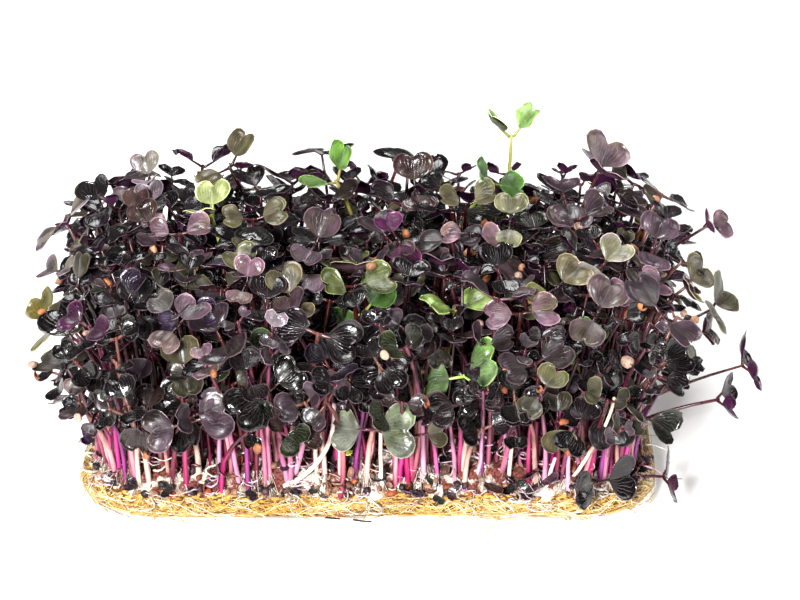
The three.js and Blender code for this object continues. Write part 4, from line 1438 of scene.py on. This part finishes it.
def speckled_material(name, scale, low, high, roughness, depth):
    """A matt, uneven skin: the tint, varied by grain of one scale."""
    g = Graph(name)
    grain = g.noise(scale, detail=5)
    patches = g.noise(scale * 0.21, detail=2)
    spread = g.times(g.ramp(grain, 0.3, 0.7, low, high), g.ramp(patches, 0.3, 0.7, 0.8, 1.15))
    colour = g.scaled(g.attribute("tint"), spread)
    return g.finish(Base_Color=colour, Roughness=g.ramp(grain, 0.3, 0.7, roughness, roughness + 0.15),
                    Normal=g.bump(grain, 0.6, depth))


def core_material():
    """Golden fibre, with dark strands that are partly painted shade between fibres, and on the bed dark
    litter, partly painted shade between the stems, with pale felted patches.
    """
    g = Graph("mat_core_fibre")
    strands = g.noise(900, detail=5, stretch=(0.5, 0.5, 1.3))
    grain = g.noise(1700, detail=4)
    patches = g.noise(160, detail=3)
    # The dark strands stand partly for dark fibre and partly for painted shade in the gaps between fibres.
    fibre = g.mix(g.ramp(strands, 0.42, 0.6), paint("#4d2b0c"), paint("#d9a850"))
    # The litter's near-black crimson is partly its own colour and partly painted shade in the gaps between
    # the stems.
    litter = g.mix(g.ramp(grain, 0.35, 0.62), paint("#1d0507"), paint("#7c3b2e"))
    felt = g.mix(g.ramp(grain, 0.35, 0.65), paint("#9d8c7a"), paint("#e9e0d2"))
    ground = g.mix(g.ramp(patches, 0.5, 0.6), litter, felt)
    share = g.plus(g.attribute("tint", "Alpha"), g.ramp(patches, 0.3, 0.7, -0.2, 0.2))
    colour = g.mix(g.ramp(share, 0.35, 0.65), fibre, ground)
    return g.finish(Base_Color=colour, Roughness=g.ramp(strands, 0.3, 0.7, 0.75, 0.9),
                    Normal=g.bump(g.plus(strands, grain), 0.9, 0.6))


def tray_material():
    g = Graph("white_plastic")
    flow = g.noise(35, detail=3)
    specks = g.ramp(g.noise(900, detail=1), 0.76, 0.8)
    colour = g.mix(g.ramp(flow, 0.3, 0.7), paint("#f4f2ee"), paint("#faf9f6"))
    colour = g.mix(g.times(specks, 0.5), colour, paint("#8a6a4a"))
    return g.finish(Base_Color=colour, Roughness=g.ramp(flow, 0.3, 0.7, 0.32, 0.42),
                    Normal=g.bump(g.noise(1200, detail=2), 0.08, 0.1))


def floor_material():
    g = Graph("pale_floor")
    tone = g.noise(3, detail=2)
    colour = g.mix(tone, paint("#f6f5f3"), paint("#fafaf9"))
    return g.finish(Base_Color=colour, Roughness=0.7)


# ---- Loose things that lie at the front ----
# Stems and slivers, each along a few points.
FALLEN_STEMS = named_rows("foot head radius path", [
    ("#e6dcd0", "#dcc0bb", 0.8, [
        (-25.6, -50, 15.1), (-23.2, -50, 16.2), (-20, -50.5, 18.8), (-16.5, -51, 22.6), (-13.7, -52, 27.4),
        (-11.7, -52.6, 31.9), (-10.4, -53, 36.5), (-9.7, -53.4, 41.9), (-9.6, -53.6, 47.8),
    ]),
    ("#b35cc8", "#e3b4e0", 0.7, [
        (27.8, -50, 15.8), (30.3, -50.5, 13.1), (33.4, -51, 12), (37.1, -50.6, 12.8), (40.1, -50, 15.1),
        (43.2, -49, 17),
    ]),
    ("#fdf4f2", "#eccbd6", 0.7, [
        (54.6, -50, 14.3), (55.7, -50, 17.3), (56.1, -50.5, 21.5), (57.2, -50.5, 25.9),
    ]),
    ("#f0c6c4", "#ead9b8", 0.65, [
        (61.1, -49, 13.9), (63.3, -50, 18.8), (66, -51.5, 25.2), (68.5, -53, 32.5), (71.5, -55, 41.2),
        (73, -57, 49.7), (73, -58, 52.9),
    ]),
    ("#1d1416", "#2a1c1c", 0.32, [(-13, -57.6, 8.8), (-10.5, -57.7, 8.5), (-8.4, -57.6, 8.2)]),
    ("#1d1416", "#2a1c1c", 0.3, [(-4.4, -57.6, 7.9), (-1.6, -57.7, 7.4), (1.2, -57.6, 7.1)]),
])
FALLEN_STEM_POINTS = 24
LOOSE_HULL = Named(at=(-38.2, -57.4, 10.8), size=(1.6, 1.7))
BUDS = [(-74, -50, 27.8), (-9.8, -50.5, 26)]
BUD = Named(bend=0.5, heading=0.6, spread=(0.7, 0.5), size=0.36, fold=0.5, droop=0.1,
            colour=linear("#98a43c"))


def smooth_path(points, count):
    """A smooth line through a few points, evenly divided."""
    points = np.array(points, dtype=float)
    way = way_along(points)
    marks = np.linspace(0, way[-1], count)
    line = np.stack([np.interp(marks, way, points[:, axis]) for axis in range(3)], axis=1)
    for _ in range(4):
        line[1:-1] = (line[:-2] + 2 * line[1:-1] + line[2:]) / 4
    return line


def make_loose_things(materials):
    """Fallen stems, a seed coat and two buds at the tray's front edge."""
    random = seeded(77)
    heap = Heap()
    share = np.linspace(0, 1, FALLEN_STEM_POINTS)[:, None]
    for stem in FALLEN_STEMS:
        path = smooth_path(stem.path, FALLEN_STEM_POINTS)
        radii = stem.radius * (1 - 0.25 * share.T)
        foot, head = linear(stem.foot), linear(stem.head)
        tints = with_gloss(foot * (1 - share) + head * share, GLOSS.stalk)
        heap.add_tubes(path[None], radii, FINE.stem_sides, STEM_SLOT, tints[None])
    add_husks(heap, [np.array(LOOSE_HULL.at)], SHELL, LOOSE_HULL.size, random)
    for place in BUDS:
        plant = lay_out(np.array(place), np.array(place) + [0.2, 0, 1], BUD.bend, BUD.heading, BUD.spread,
                        BUD.size, BUD.fold, BUD.droop)
        blade = blade_points(plant.leaves[0], ROUGH.vertices, random)
        heap.add(blade[None], ROUGH.quads, [], LEAF_SLOT, with_gloss(BUD.colour, GLOSS.bud), ROUGH.places)
    piece = heap.make("loose_things", materials)
    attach(piece, "root")


# ---- The dressed part ----
# How much litter lies round the clumps of each row: the front row's shows, that of the inner rows doesn't.
LITTER = [1.9, 0.3, 0.08, 0.12, 0.5]
LITTER_AT_ENDS = 0.5


def make_seedlings(clumps, lone):
    """One piece for each of the model's clumps and green seedlings, and one for what lies loose."""
    materials = [
        leaf_material(),
        stem_material(),
        speckled_material("seed_coat", 1500, 0.6, 1.25, 0.5, 0.3),
        speckled_material("roots", 1300, 0.55, 1.2, 0.75, 0.5),
    ]
    husk_draws = seeded(GRID.seed)
    for clump in clumps:
        random = seeded(5000 + clump.row * GRID.columns + clump.column)
        heap = Heap()
        add_seedlings(heap, clump.plants, FINE, random)
        add_seedlings(heap, clump.notable, FINE, random)
        add_seedlings(heap, [plant for plant in clump.fillers if not plant.rough], COARSE, random)
        add_seedlings(heap, [plant for plant in clump.fillers if plant.rough], ROUGH, random)
        add_plug(heap, clump.at, CLUMP.radius, random)
        at_end = clump.column in (0, GRID.columns - 1)
        add_litter(heap, clump, random, max(LITTER[clump.row], LITTER_AT_ENDS * at_end))
        places = leaf_husk_places(clump.plants, husk_draws, CLINGING.share)
        places += leaf_husk_places(clump.fillers, random, CLINGING.filler_share[clump.row])
        half = len(places) // 2
        add_husks(heap, places[:half], COAT, CLINGING.coat_size, random, CLINGING_COLOURS, CLINGING.shade)
        add_husks(heap, places[half:], SHELL, CLINGING.shell_size, random, CLINGING_COLOURS, CLINGING.shade)
        node = f"seedlings_{clump.row + 1}_{clump.column + 1}"
        piece = heap.make(f"purple_{node}", materials)
        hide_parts(node)
        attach(piece, "root")
    make_loose_things(materials)
    for i, plug in enumerate(lone):
        random = seeded(6000 + i)
        heap = Heap()
        add_seedlings(heap, plug.plants, FINE, random, stem=GREEN_STEM)
        add_plug(heap, plug.at, LONE_CLUMP.radius, random)
        node = f"green_seedling_{i + 1}"
        piece = heap.make(f"fresh_{node}", materials)
        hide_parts(node)
        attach(piece, "root")


def make_mat():
    """The mat's core and its loose fibres."""
    core = make_mat_core(core_material())
    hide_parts("fibre_mat")
    fibre = speckled_material("jute_fibre", 2200, 0.75, 1.15, 0.55, 0.2)
    pieces = [core, make_fibres("edge_fibres", side_fibre, FIBRE.side_count, FIBRE.seed, fibre),
              make_fibres("top_fibres", top_fibre, FIBRE.top_count, FIBRE.seed + 1, fibre)]
    for piece in pieces:
        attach(piece, "root")


# In metres and watts: the floor's size, how much light the room gives and how bright it looks, and the lamps.
FLOOR_SIZE = 1.9
ROOM = Named(light=0.1, seen=1.0)
LAMPS_AIM = (0, 0, 0.04)
LAMPS = named_rows("name place size power", [
    ("key", (-0.3, -1.0, 0.64), 0.22, 36),
    ("overhead", (-0.15, 0.4, 1.0), 0.5, 11.5),
    ("fill", (1.0, 0.1, 0.5), 0.5, 5),
])


def aimed(way):
    """The rotation that points a lamp or camera that way."""
    return way.to_track_quat("-Z", "Y").to_euler()


def make_studio():
    bpy.ops.mesh.primitive_plane_add(size=FLOOR_SIZE)
    floor = bpy.context.object
    floor.name = "floor"
    floor.data.materials.append(floor_material())

    world = bpy.data.worlds.new("white_room")
    bpy.context.scene.world = world
    world.use_nodes = True
    nodes, links = world.node_tree.nodes, world.node_tree.links
    # A faint light from all sides, from walls that look white to the camera.
    shades = nodes.new("ShaderNodeMixShader")
    links.new(nodes.new("ShaderNodeLightPath").outputs["Is Camera Ray"], shades.inputs[0])
    for i, background in enumerate((nodes["Background"], nodes.new("ShaderNodeBackground"))):
        background.inputs["Color"].default_value = (1, 1, 1, 1)
        background.inputs["Strength"].default_value = (ROOM.light, ROOM.seen)[i]
        links.new(background.outputs[0], shades.inputs[i + 1])
    links.new(shades.outputs[0], nodes["World Output"].inputs[0])

    for lamp in LAMPS:
        light = bpy.data.lights.new(lamp.name, "AREA")
        light.size, light.energy = lamp.size, lamp.power
        softbox = bpy.data.objects.new(lamp.name, light)
        softbox.location = lamp.place
        softbox.rotation_euler = aimed(Vector(LAMPS_AIM) - Vector(lamp.place))
        bpy.context.scene.collection.objects.link(softbox)


def make_camera():
    data = bpy.data.cameras.new("photo_view")
    data.sensor_width, data.lens = CAMERA.sensor, CAMERA.lens
    camera = bpy.data.objects.new("photo_view", data)
    back = Vector(camera_way())
    camera.location = (Vector(CAMERA.target) + back * CAMERA.distance) * MM
    camera.rotation_euler = aimed(-back)
    bpy.context.scene.collection.objects.link(camera)
    bpy.context.scene.camera = camera
    bpy.context.scene.view_settings.view_transform = "Standard"


make_camera()
clumps = clump_centres()
space = Space(CLEARANCE.distance)
lone = grow_seedlings(clumps, space)
grow_notable(clumps, space)
fill_clumps(clumps, lone, space)
make_seedlings(clumps, lone)
make_mat()
tray = make_tray(tray_material())
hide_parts("tray")
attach(tray, "root")
make_studio()
